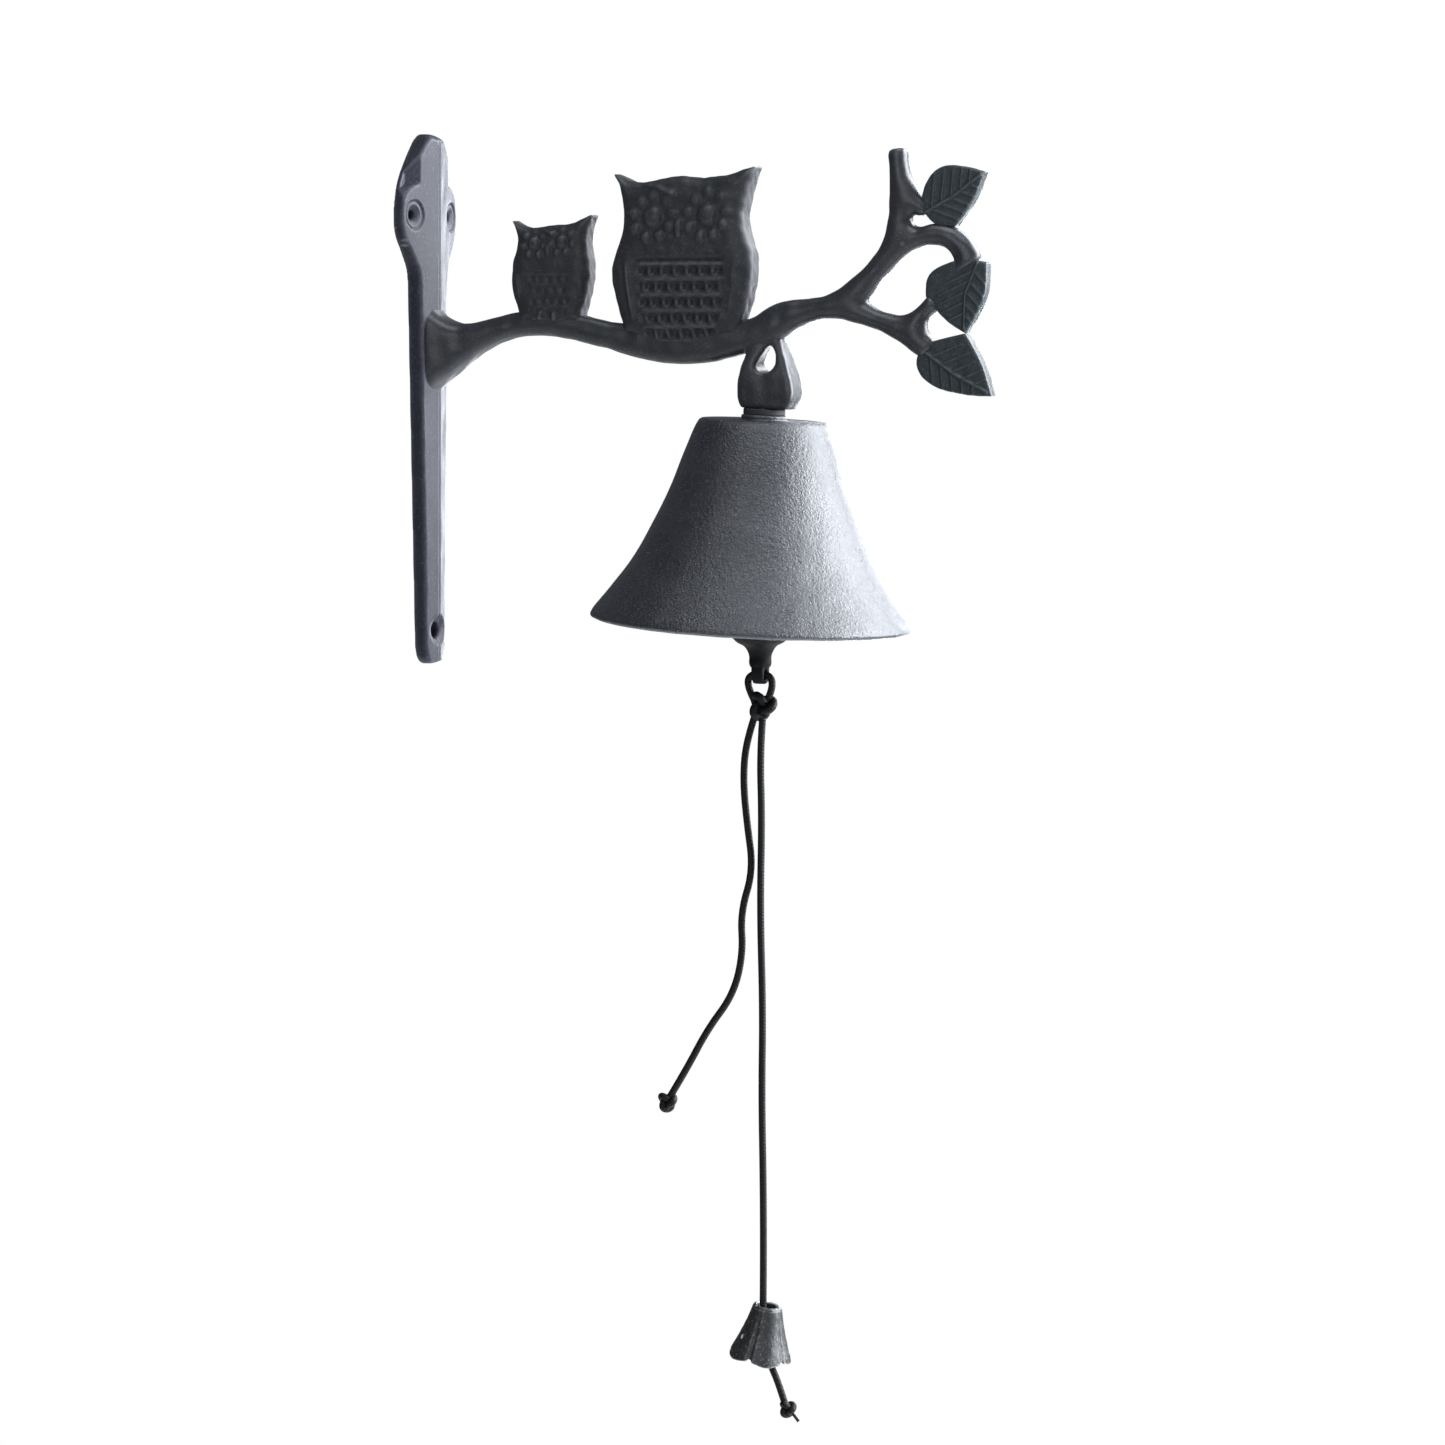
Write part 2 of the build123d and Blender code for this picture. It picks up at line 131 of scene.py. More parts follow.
def turned(profile: Sequence[Run], steps: int, curve_steps: int = 6) -> bmesh.types.BMesh:
    """Spins a profile of (radius, height) points round the Z axis.

    Args:
        profile: Runs of the profile. The first point of a run is a corner.
        steps: Steps of the full turn.
        curve_steps: Segments between two profile points.

    Returns:
        The turned shape, closed where the profile is closed or starts and ends on the axis.
    """
    bm = bezier_mesh([profile], False, 0.0, curve_steps)
    bmesh.ops.transform(bm, matrix=Facing.ALONG_ARM.stand(), verts=bm.verts)
    bmesh.ops.spin(
        bm,
        geom=[*bm.verts, *bm.edges],
        cent=(0, 0, 0),
        axis=(0, 0, 1),
        angle=2 * math.pi,
        steps=steps,
        use_merge=True,
    )
    bmesh.ops.remove_doubles(bm, verts=bm.verts, dist=0.001)
    bmesh.ops.recalc_face_normals(bm, faces=bm.faces)
    return bm


def joined(parts: Sequence[bmesh.types.BMesh]) -> bmesh.types.BMesh:
    """Puts several shapes into the first one and frees the others."""
    whole = parts[0]
    for part in parts[1:]:
        mesh = bpy.data.meshes.new("part")
        part.to_mesh(mesh)
        whole.from_mesh(mesh)
        part.free()
        bpy.data.meshes.remove(mesh)
    return whole


def remeshed(bm: bmesh.types.BMesh, voxel: float) -> bmesh.types.BMesh:
    """Fuses a shape's overlapping parts into one even skin of small quads, and frees the given shape."""
    mesh = bpy.data.meshes.new("rough")
    bm.to_mesh(mesh)
    bm.free()
    holder = bpy.data.objects.new("rough", mesh)
    bpy.context.scene.collection.objects.link(holder)
    remesh = holder.modifiers.new("voxels", "REMESH")
    remesh.mode = "VOXEL"
    remesh.voxel_size = voxel
    depsgraph = bpy.context.evaluated_depsgraph_get()
    even = bpy.data.meshes.new_from_object(holder.evaluated_get(depsgraph))
    made = bmesh.new()
    made.from_mesh(even)
    bpy.data.objects.remove(holder)
    bpy.data.meshes.remove(mesh)
    bpy.data.meshes.remove(even)
    return made


def softened(bm: bmesh.types.BMesh, rounds: int) -> bmesh.types.BMesh:
    """Wears a shape's edges down, as a sand mould and a tumbling barrel do."""
    for _ in range(rounds):
        bmesh.ops.smooth_vert(
            bm, verts=bm.verts, factor=0.5, use_axis_x=True, use_axis_y=True, use_axis_z=True
        )
    bm.normal_update()
    return bm


def pillowed(bm: bmesh.types.BMesh, outline: Sequence[Run], reach: float, thin: float) -> None:
    """Rounds a flat casting like a pillow, thinner towards its outline.

    Args:
        bm: Casting, flat along the arm.
        outline: Its outline.
        reach: Distance from the outline over which it swells to its full thickness.
        thin: Share of the thickness that is left at the outline.
    """
    rim = bezier_mesh([outline], True, 0.0, 24)
    tree = KDTree(len(rim.verts))
    for n, vert in enumerate(rim.verts):
        tree.insert((vert.co.x, 0, vert.co.y), n)
    tree.balance()
    rim.free()
    for vert in bm.verts:
        _, _, distance = tree.find((vert.co.x, 0, vert.co.z))
        rise = min(distance / reach, 1.0)
        vert.co.y *= thin + (1 - thin) * math.sqrt(rise * (2 - rise))
    bm.normal_update()


def wander(points: np.ndarray, size: float, seed: int) -> np.ndarray:
    """Slow unevenness in space, from about -1 to 1, with waves of about the given size."""
    random = np.random.default_rng(seed)
    total = np.zeros(len(points))
    for _ in range(9):
        heading = random.normal(size=3)
        heading /= np.linalg.norm(heading)
        wave = 2 * math.pi / (size * random.uniform(0.7, 1.6))
        total += np.sin(points @ heading * wave + random.uniform(0, 2 * math.pi))
    return total / 4


def shift_along_normals(mesh: bpy.types.Mesh, height: Callable[[np.ndarray, np.ndarray], np.ndarray]) -> None:
    """Moves each point of a mesh along its normal.

    Args:
        mesh: Mesh to change.
        height: Gives each point's move from its place and its normal.
    """
    count = len(mesh.vertices)
    places = np.empty(count * 3)
    normals = np.empty(count * 3)
    mesh.vertices.foreach_get("co", places)
    mesh.vertices.foreach_get("normal", normals)
    places = places.reshape(-1, 3)
    normals = normals.reshape(-1, 3)
    places += normals * height(places, normals)[:, None]
    mesh.vertices.foreach_set("co", places.ravel())
    mesh.update()


def to_mesh(bm: bmesh.types.BMesh, name: str) -> bpy.types.Mesh:
    """Turns a bmesh into a smooth shaded mesh and frees it."""
    mesh = bpy.data.meshes.new(name)
    bm.to_mesh(mesh)
    bm.free()
    mesh.shade_smooth()
    return mesh


def to_frame(
    name: str, mesh: bpy.types.Mesh, body: Body, material: bpy.types.Material, slot: str, *nodes: str
) -> bpy.types.Object:
    """Takes a finished mesh in millimetres into the frame as a piece.

    Args:
        name: Name of the piece.
        mesh: Its mesh, in millimetres, in place.
        body: Body that it moves with.
        material: Its finish.
        slot: Material slot of the record; not used.
        nodes: CAD nodes that it stands for.

    Returns:
        The piece, at the origin.
    """
    mesh.transform(Matrix.Scale(MM, 4))
    mesh.materials.clear()
    mesh.materials.append(material)
    piece = bpy.data.objects.new(name, mesh)
    bpy.context.scene.collection.objects.link(piece)
    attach(piece, body.value)
    if nodes:
        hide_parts(*nodes)
    LOG.info("%s: %d faces", name, len(mesh.polygons))
    return piece


# ---------------------------------------------------------------------------------------------------------
# Finishes
# ---------------------------------------------------------------------------------------------------------


class Shader:
    """A material's node tree, with short calls for adding and joining nodes."""

    def __init__(self, tree: bpy.types.NodeTree) -> None:
        """Wraps an empty node tree."""
        self.tree = tree

    def add(self, kind: str, **settings: object) -> bpy.types.Node:
        """Adds a node and sets its properties, or the defaults of the inputs so named."""
        node = self.tree.nodes.new(kind)
        for name, value in settings.items():
            if hasattr(node, name):
                setattr(node, name, value)
            else:
                node.inputs[name.replace("_", " ")].default_value = value
        return node

    def join(self, start: bpy.types.NodeSocket, end: bpy.types.NodeSocket) -> None:
        """Joins an output to an input."""
        self.tree.links.new(start, end)

    def math(self, operation: str, *values: object) -> bpy.types.NodeSocket:
        """Adds a Math node on sockets or numbers and gives its output."""
        node = self.tree.nodes.new("ShaderNodeMath")
        node.operation = operation
        for socket, value in zip(node.inputs, values):
            if isinstance(value, bpy.types.NodeSocket):
                self.join(value, socket)
            else:
                socket.default_value = value
        return node.outputs[0]

    def unit(self, value: bpy.types.NodeSocket) -> bpy.types.NodeSocket:
        """Keeps a value between 0 and 1."""
        return self.math("MAXIMUM", self.math("MINIMUM", value, 1.0), 0.0)

    def bump(
        self, height: bpy.types.NodeSocket, surface: bpy.types.Node, strength: float, depth_mm: float
    ) -> None:
        """Raises a surface by a pattern of heights, to a depth in millimetres."""
        node = self.add("ShaderNodeBump", Strength=strength, Distance=depth_mm * MM)
        self.join(height, node.inputs["Height"])
        self.join(node.outputs[0], surface.inputs["Normal"])

    def mix(self, factor: bpy.types.NodeSocket, first: object, second: object) -> bpy.types.NodeSocket:
        """Mixes two colours, given as sockets or values, and gives the colour."""
        node = self.tree.nodes.new("ShaderNodeMix")
        node.data_type = "RGBA"
        self.join(factor, node.inputs[0])
        for socket, value in ((node.inputs[6], first), (node.inputs[7], second)):
            if isinstance(value, bpy.types.NodeSocket):
                self.join(value, socket)
            else:
                socket.default_value = value
        return node.outputs[2]


def new_material(name: str) -> tuple[bpy.types.Material, Shader, bpy.types.Node]:
    """Starts a material, and gives it with its shader and its surface node."""
    material = bpy.data.materials.new(name)
    material.use_nodes = True
    return material, Shader(material.node_tree), material.node_tree.nodes["Principled BSDF"]


def new_group(
    name: str, inputs: Sequence[tuple[str, str, object]], outputs: Sequence[tuple[str, str]]
) -> Shader:
    """Starts a node group with named inputs and outputs, and gives its shader."""
    tree = bpy.data.node_groups.new(name, "ShaderNodeTree")
    for title, kind, value in inputs:
        socket = tree.interface.new_socket(title, in_out="INPUT", socket_type=kind)
        socket.default_value = value
    for title, kind in outputs:
        tree.interface.new_socket(title, in_out="OUTPUT", socket_type=kind)
    return Shader(tree)


def sand_cast_group() -> bpy.types.NodeTree:
    """Grain of a sand casting: its height, a mask of grains that are painted lighter as glints, and slow
    blotches.
    """
    shader = new_group(
        "sand cast grain",
        [("Scale", "NodeSocketFloat", 1400.0), ("Coarse", "NodeSocketFloat", 0.5)],
        [("Height", "NodeSocketFloat"), ("Glints", "NodeSocketFloat"), ("Blotches", "NodeSocketFloat")],
    )
    given = shader.add("NodeGroupInput")
    place = shader.add("ShaderNodeTexCoord").outputs["Object"]
    fine = shader.add("ShaderNodeTexNoise", Detail=3.0, Roughness=0.65)
    coarse = shader.add("ShaderNodeTexNoise", Detail=2.0, Roughness=0.55)
    grains = shader.add("ShaderNodeTexVoronoi", feature="F1")
    blotches = shader.add("ShaderNodeTexNoise", Scale=85.0, Detail=3.0, Roughness=0.6)
    for node in (fine, coarse, grains, blotches):
        shader.join(place, node.inputs["Vector"])
    shader.join(given.outputs["Scale"], fine.inputs["Scale"])
    shader.join(shader.math("MULTIPLY", given.outputs["Scale"], 0.35), coarse.inputs["Scale"])
    shader.join(shader.math("MULTIPLY", given.outputs["Scale"], 0.6), grains.inputs["Scale"])
    rough = shader.math("MULTIPLY", coarse.outputs[0], given.outputs["Coarse"])
    pits = shader.math("MULTIPLY", grains.outputs["Distance"], 0.35)
    height = shader.math("ADD", shader.math("ADD", fine.outputs[0], rough), pits)
    glint = shader.add("ShaderNodeMapRange")
    glint.inputs["From Min"].default_value = 0.58
    glint.inputs["From Max"].default_value = 0.70
    shader.join(fine.outputs[0], glint.inputs["Value"])
    out = shader.add("NodeGroupOutput")
    shader.join(height, out.inputs["Height"])
    shader.join(glint.outputs[0], out.inputs["Glints"])
    shader.join(blotches.outputs[0], out.inputs["Blotches"])
    return shader.tree


def edge_and_hollow_group() -> bpy.types.NodeTree:
    """Mask of the raised edges where paint is thin, broken up by noise, and of the hollows; the finishes
    paint the edges lighter as wear and highlight, and the hollows darker as painted shade.
    """
    shader = new_group(
        "edge wear",
        [("Spread", "NodeSocketFloat", 0.06)],
        [("Edges", "NodeSocketFloat"), ("Hollows", "NodeSocketFloat")],
    )
    given = shader.add("NodeGroupInput")
    pointed = shader.add("ShaderNodeNewGeometry").outputs["Pointiness"]
    place = shader.add("ShaderNodeTexCoord").outputs["Object"]
    patches = shader.add("ShaderNodeTexNoise", Scale=320.0, Detail=4.0)
    shader.join(place, patches.inputs["Vector"])
    raised = shader.math("DIVIDE", shader.math("SUBTRACT", pointed, 0.508), given.outputs["Spread"])
    edges = shader.math("MULTIPLY", raised, shader.math("MULTIPLY", patches.outputs[0], 1.8))
    sunk = shader.math("DIVIDE", shader.math("SUBTRACT", 0.492, pointed), given.outputs["Spread"])
    out = shader.add("NodeGroupOutput")
    shader.join(shader.unit(edges), out.inputs["Edges"])
    shader.join(shader.unit(sunk), out.inputs["Hollows"])
    return shader.tree


@dataclass(frozen=True)
class CastPaint:
    """Thin black paint over sand-cast iron, lighter on raised edges as worn paint and as painted highlight,
    with painted glints on its grain and painted shade in its hollows.
    """

    name: str
    colour: tuple[float, float, float]
    warm: tuple[float, float, float]
    worn_and_highlight_colour: tuple[float, float, float]
    roughness: float
    grain_scale: float = 1400.0
    coarse: float = 0.5
    bump_mm: float = 0.10
    bump_strength: float = 0.5
    # glint: strength of the painted glints, grains lightened in the base colour to stand in for highlights.
    glint: float = 0.25
    # wear: strength of the lighter raised edges, worn paint and painted highlight in one.
    wear: float = 0.5
    specular: float = 0.5

    def build(self, grain: bpy.types.NodeTree, wear: bpy.types.NodeTree) -> bpy.types.Material:
        """Builds the material from the shared grain and wear groups."""
        material, shader, surface = new_material(self.name)
        sand = shader.add("ShaderNodeGroup", node_tree=grain)
        sand.inputs["Scale"].default_value = self.grain_scale
        sand.inputs["Coarse"].default_value = self.coarse
        edge_and_hollow_masks = shader.add("ShaderNodeGroup", node_tree=wear)
        paint = shader.mix(sand.outputs["Blotches"], (*self.colour, 1), (*self.warm, 1))
        # Painted glints: scattered grains lightened towards the light edge colour, standing in for
        # highlights.
        painted_glints = shader.math("MULTIPLY", sand.outputs["Glints"], self.glint)
        # Raised edges lightened: paint worn thin there, and a painted highlight along the ridges.
        worn = shader.math("MULTIPLY", edge_and_hollow_masks.outputs["Edges"], self.wear)
        wear_and_highlight_share = shader.math("MINIMUM", shader.math("ADD", painted_glints, worn), 1.0)
        # Painted shade: hollows darkened towards a third of the paint colour.
        hollow_shade = shader.math("MULTIPLY", edge_and_hollow_masks.outputs["Hollows"], 0.6)
        shaded = shader.mix(hollow_shade, paint, tuple(0.35 * c for c in self.colour) + (1,))
        shader.join(shader.mix(wear_and_highlight_share, shaded, (*self.worn_and_highlight_colour, 1)), surface.inputs["Base Color"])
        uneven = shader.math("MULTIPLY", shader.math("SUBTRACT", sand.outputs["Blotches"], 0.5), 0.25)
        satin = shader.math("ADD", uneven, self.roughness)
        gloss = shader.math("SUBTRACT", satin, shader.math("MULTIPLY", painted_glints, 0.4))
        shader.join(gloss, surface.inputs["Roughness"])
        shader.bump(sand.outputs["Height"], surface, self.bump_strength, self.bump_mm)
        surface.inputs["Specular IOR Level"].default_value = self.specular
        return material


@dataclass(frozen=True)
class PlatedSteel:
    """Zinc plated steel wire and fixings, slightly dull and spotted."""

    name: str
    colour: tuple[float, float, float]
    roughness: float

    def build(self, grain: bpy.types.NodeTree) -> bpy.types.Material:
        """Builds the material from the shared grain group."""
        material, shader, surface = new_material(self.name)
        sand = shader.add("ShaderNodeGroup", node_tree=grain)
        sand.inputs["Scale"].default_value = 2200.0
        dull = tuple(0.45 * c for c in self.colour) + (1,)
        zinc = shader.mix(sand.outputs["Blotches"], (*self.colour, 1), dull)
        shader.join(zinc, surface.inputs["Base Color"])
        spots = shader.math("MULTIPLY", sand.outputs["Blotches"], 0.3)
        shader.join(shader.math("ADD", spots, self.roughness), surface.inputs["Roughness"])
        shader.bump(sand.outputs["Height"], surface, 0.25, 0.05)
        surface.inputs["Metallic"].default_value = 1.0
        return material


@dataclass(frozen=True)
class WaxedCord:
    """Black waxed braid: crossing diagonal strands, faintly glossy."""

    name: str
    colour: tuple[float, float, float]
    strand_scale: float = 380.0

    def build(self) -> bpy.types.Material:
        """Builds the material."""
        material, shader, surface = new_material(self.name)
        place = shader.add("ShaderNodeTexCoord").outputs["Object"]
        heights = []
        for lean in (0.7, -0.7):
            turn = shader.add("ShaderNodeMapping")
            turn.inputs["Rotation"].default_value = (0, lean, 0)
            shader.join(place, turn.inputs["Vector"])
            strands = shader.add(
                "ShaderNodeTexWave", bands_direction="Z", Scale=self.strand_scale, Distortion=0.4
            )
            shader.join(turn.outputs[0], strands.inputs["Vector"])
            heights.append(strands.outputs["Fac"])
        weave = shader.math("MAXIMUM", *heights)
        shade = shader.mix(weave, tuple(0.4 * c for c in self.colour) + (1,), (*self.colour, 1))
        shader.join(shade, surface.inputs["Base Color"])
        shader.bump(weave, surface, 0.6, 0.12)
        surface.inputs["Roughness"].default_value = 0.55
        surface.inputs["Specular IOR Level"].default_value = 0.22
        return material


@dataclass(frozen=True)
class BlackRubber:
    """Matt black rubber with a powdery surface."""

    name: str

    def build(self, grain: bpy.types.NodeTree) -> bpy.types.Material:
        """Builds the material from the shared grain group."""
        material, shader, surface = new_material(self.name)
        sand = shader.add("ShaderNodeGroup", node_tree=grain)
        sand.inputs["Scale"].default_value = 2600.0
        powder = shader.mix(sand.outputs["Blotches"], (0.012, 0.012, 0.013, 1), (0.03, 0.03, 0.03, 1))
        shader.join(powder, surface.inputs["Base Color"])
        shader.bump(sand.outputs["Height"], surface, 0.3, 0.04)
        surface.inputs["Roughness"].default_value = 0.75
        return material


class Finishes:
    """Every material of the object, built once."""

    def __init__(self) -> None:
        """Builds the shared groups and the materials."""
        grain = sand_cast_group()
        wear = edge_and_hollow_group()
        self.branch = CastPaint(
            "branch iron",
            (0.016, 0.020, 0.024),
            (0.031, 0.029, 0.034),
            (0.18, 0.19, 0.21),
            0.38,
            wear=0.3,
            specular=0.45,
        ).build(grain, wear)
        self.plate = CastPaint(
            "plate iron",
            (0.018, 0.019, 0.026),
            (0.034, 0.034, 0.044),
            (0.20, 0.20, 0.24),
            0.40,
            bump_mm=0.09,
            specular=0.12,
        ).build(grain, wear)
        self.owl = CastPaint(
            "owl iron",
            (0.016, 0.019, 0.022),
            (0.031, 0.030, 0.034),
            (0.18, 0.19, 0.20),
            0.45,
            wear=0.45,
            specular=0.25,
        ).build(grain, wear)
        self.leaf = CastPaint(
            "leaf iron",
            (0.012, 0.020, 0.023),
            (0.024, 0.031, 0.035),
            (0.17, 0.19, 0.20),
            0.42,
            wear=0.35,
            specular=0.35,
        ).build(grain, wear)
        self.bell = CastPaint(
            "bell iron",
            (0.014, 0.015, 0.020),
            (0.027, 0.028, 0.036),
            (0.34, 0.35, 0.40),
            0.28,
            grain_scale=1900.0,
            coarse=0.7,
            bump_mm=0.46,
            bump_strength=0.6,
            glint=0.34,
            wear=0.4,
            specular=0.7,
        ).build(grain, wear)
        self.clapper = CastPaint(
            "clapper iron",
            (0.006, 0.006, 0.007),
            (0.011, 0.011, 0.011),
            (0.06, 0.06, 0.06),
            0.6,
            glint=0.0,
            wear=0.1,
            specular=0.1,
        ).build(grain, wear)
        # The pull's light edge colour paints highlights on its rims as well as wear.
        self.pull = CastPaint(
            "pull iron", (0.010, 0.011, 0.012), (0.020, 0.020, 0.021), (0.6, 0.6, 0.6), 0.42, wear=1.0
        ).build(grain, wear)
        self.fixing = PlatedSteel("fixing steel", (0.46, 0.46, 0.44), 0.25).build(grain)
        self.wire = PlatedSteel("hook wire", (0.40, 0.40, 0.39), 0.3).build(grain)
        self.rubber = BlackRubber("washer rubber").build(grain)
        self.cord = WaxedCord("waxed cord", (0.005, 0.005, 0.0055)).build()


# ---------------------------------------------------------------------------------------------------------
# Relief patterns: heights in millimetres over the face of a flat casting
# ---------------------------------------------------------------------------------------------------------


def dome(x: np.ndarray, z: np.ndarray, centre: Point, radii: Point, turn: float = 0.0) -> np.ndarray:
    """Half an ellipsoid, 1 at its centre and 0 outside, turned by an angle in its plane."""
    across = (x - centre[0]) * math.cos(turn) + (z - centre[1]) * math.sin(turn)
    along = (z - centre[1]) * math.cos(turn) - (x - centre[0]) * math.sin(turn)
    inside = 1 - (across / radii[0]) ** 2 - (along / radii[1]) ** 2
    return np.sqrt(np.clip(inside, 0, None))


def line(distance: np.ndarray, width: float) -> np.ndarray:
    """A rounded line, 1 on it and fading at the given width."""
    return np.exp(-((distance / width) ** 2))


def within(value: np.ndarray, low: float, high: float, fade: float) -> np.ndarray:
    """1 between two limits, fading to 0 over a distance inside them."""
    return np.clip((value - low) / fade, 0, 1) * np.clip((high - value) / fade, 0, 1)


def off_segment(x: np.ndarray, z: np.ndarray, start: Point, end: Point) -> tuple[np.ndarray, np.ndarray]:
    """Distance from a straight stretch, and the share of the way along it."""
    dx, dz = end[0] - start[0], end[1] - start[1]
    share = np.clip(((x - start[0]) * dx + (z - start[1]) * dz) / (dx * dx + dz * dz), 0, 1)
    return np.hypot(x - start[0] - share * dx, z - start[1] - share * dz), share


def petal_ring(
    x: np.ndarray, z: np.ndarray, centre: Point, ring: float, size: Point, count: int
) -> np.ndarray:
    """Small drops set round a centre, pointing outwards."""
    height = np.zeros(len(x))
    for n in range(count):
        angle = 2 * math.pi * n / count
        reach = ring * (1 + 0.09 * math.sin(5.0 * n + centre[0]))
        place = (centre[0] + reach * math.sin(angle), centre[1] + reach * math.cos(angle))
        swell = 0.72 - 0.28 * math.cos(angle) + 0.14 * math.sin(7.0 * n + centre[0])
        height = np.maximum(height, swell * dome(x, z, place, size, -angle))
    return height


def on_faces(normals: np.ndarray) -> np.ndarray:
    """1 on a casting's flat front and back, fading to 0 round its edge."""
    return np.clip((np.abs(normals[:, 1]) - 0.55) / 0.35, 0, 1)


@dataclass
class OwlRelief:
    """Face, chest and wings of an owl, as heights over its flat front and back."""

    eyes: tuple[Point, Point]
    eye_size: Point
    petal_ring_r: float
    petal_size: Point
    petals: int
    beak: Point
    brow: tuple[Point, Point]
    chest_z: float
    foot_z: float
    row_pitch: float
    column_pitch: float
    chest_x: tuple[float, float]
    waist_x: tuple[float, float]
    feet: Sequence[Point] = ()
    depth: float = 1.0
    feather_depth: float = 1.0

    def __call__(self, x: np.ndarray, z: np.ndarray) -> np.ndarray:
        """Height of the relief at each place."""
        height = np.zeros(len(x))
        wide, tall = self.eye_size
        for eye in self.eyes:
            petals = petal_ring(x, z, eye, self.petal_ring_r, self.petal_size, self.petals)
            height = np.maximum(height, 0.85 * petals)
        for eye in self.eyes:
            far = np.hypot((x - eye[0]) / wide, (z - eye[1]) / tall)
            height += 1.25 * dome(x, z, eye, self.eye_size) - 0.5 * line(far - 1.25, 0.24)
        height = np.maximum(height, 0.9 * dome(x, z, self.beak, (0.5 * wide, 0.95 * tall)))
        brow, way = off_segment(x, z, *self.brow)
        height += 0.7 * line(brow, 0.7) * (0.4 + 0.6 * way)
        for foot in self.feet:
            height = np.maximum(height, 0.9 * dome(x, z, foot, (0.55 * wide, 0.8 * tall)))
        height += self.feather_depth * self.feathers(x, z) + self.wings(x, z)
        return self.depth * height

    def edges(self, z: np.ndarray) -> tuple[np.ndarray, np.ndarray]:
        """Left and right edge of the chest at each height."""
        share = np.clip((self.chest_z - z) / (self.chest_z - self.foot_z), 0, 1)
        left = self.chest_x[0] + share**2 * (self.waist_x[0] - self.chest_x[0])
        right = self.chest_x[1] + share**2 * (self.waist_x[1] - self.chest_x[1])
        return left, right

    def feathers(self, x: np.ndarray, z: np.ndarray) -> np.ndarray:
        """Rows of square feather pits under a chest line, with a ledge above each row."""
        left, right = self.edges(z)
        inside = np.clip((x - left) / 1.6, 0, 1) * np.clip((right - x) / 1.6, 0, 1)
        inside *= within(z, self.foot_z, self.chest_z, 1.0)
        row = (self.chest_z - z) / self.row_pitch
        number = np.floor(row)
        down = row - number
        column = (x - left) / self.column_pitch + 0.5 * (number % 2)
        aside = np.abs(column - np.round(column)) * self.column_pitch
        pit = np.clip((aside - 0.55) / 0.6, 0, 1) * within(down, 0.28, 0.96, 0.16)
        marks = 0.45 * line(down - 0.16, 0.13) - 0.85 * pit
        collar = -0.75 * line(z - self.chest_z - 0.2, 0.6)
        return inside * marks + collar * within(x, self.chest_x[0] - 2, self.chest_x[1], 2.5)

    def wings(self, x: np.ndarray, z: np.ndarray) -> np.ndarray:
        """A raised seam where each folded wing meets the chest, strong on the left and faint on the right."""
        left, right = self.edges(z)
        upright = within(z, self.foot_z + 6, self.chest_z + 1, 4.0)
        lean = 0.16 * (self.chest_z - z)
        seam = 0.6 * line(x - left + 3.6 - 0.4 * lean, 0.65) - 0.3 * line(x - left + 5.0 - 0.4 * lean, 0.9)
        return (seam + 0.22 * line(right + 2.8 - x, 0.9)) * upright


@dataclass
class LeafVeins:
    """A leaf's midrib and side veins, raised on both faces."""

    stem: Point
    tip: Point
    spread: float
    pairs: int = 5
    bow: float = 0.0

    def __call__(self, x: np.ndarray, z: np.ndarray) -> np.ndarray:
        """Height of the veins at each place."""
        along = Vector((self.tip[0] - self.stem[0], self.tip[1] - self.stem[1]))
        side = Vector((-along.y, along.x)).normalized()
        middle = (
            (self.stem[0] + self.tip[0]) / 2 + self.bow * side.x,
            (self.stem[1] + self.tip[1]) / 2 + self.bow * side.y,
        )
        near, _ = off_segment(x, z, self.stem, middle)
        far, _ = off_segment(x, z, middle, self.tip)
        distance = np.minimum(near, far)
        height = 0.55 * line(distance, 0.45) - 0.12 * line(distance - 1.0, 0.4)
        for n in range(self.pairs):
            share = 0.12 + 0.66 * n / (self.pairs - 1)
            bend = 4 * share * (1 - share) * self.bow
            root = (
                self.stem[0] + share * along.x + bend * side.x,
                self.stem[1] + share * along.y + bend * side.y,
            )
            reach = self.spread * (1.15 - 0.75 * share)
            for hand in (1, -1):
                out = (
                    root[0] + hand * side.x * reach + along.x / along.length * reach * 0.75,
                    root[1] + hand * side.y * reach + along.y / along.length * reach * 0.75,
                )
                gap, way = off_segment(x, z, root, out)
                height = np.maximum(height, 0.42 * line(gap, 0.36) * (1 - 0.6 * way))
        return height


# ---------------------------------------------------------------------------------------------------------
# Bracket
# ---------------------------------------------------------------------------------------------------------


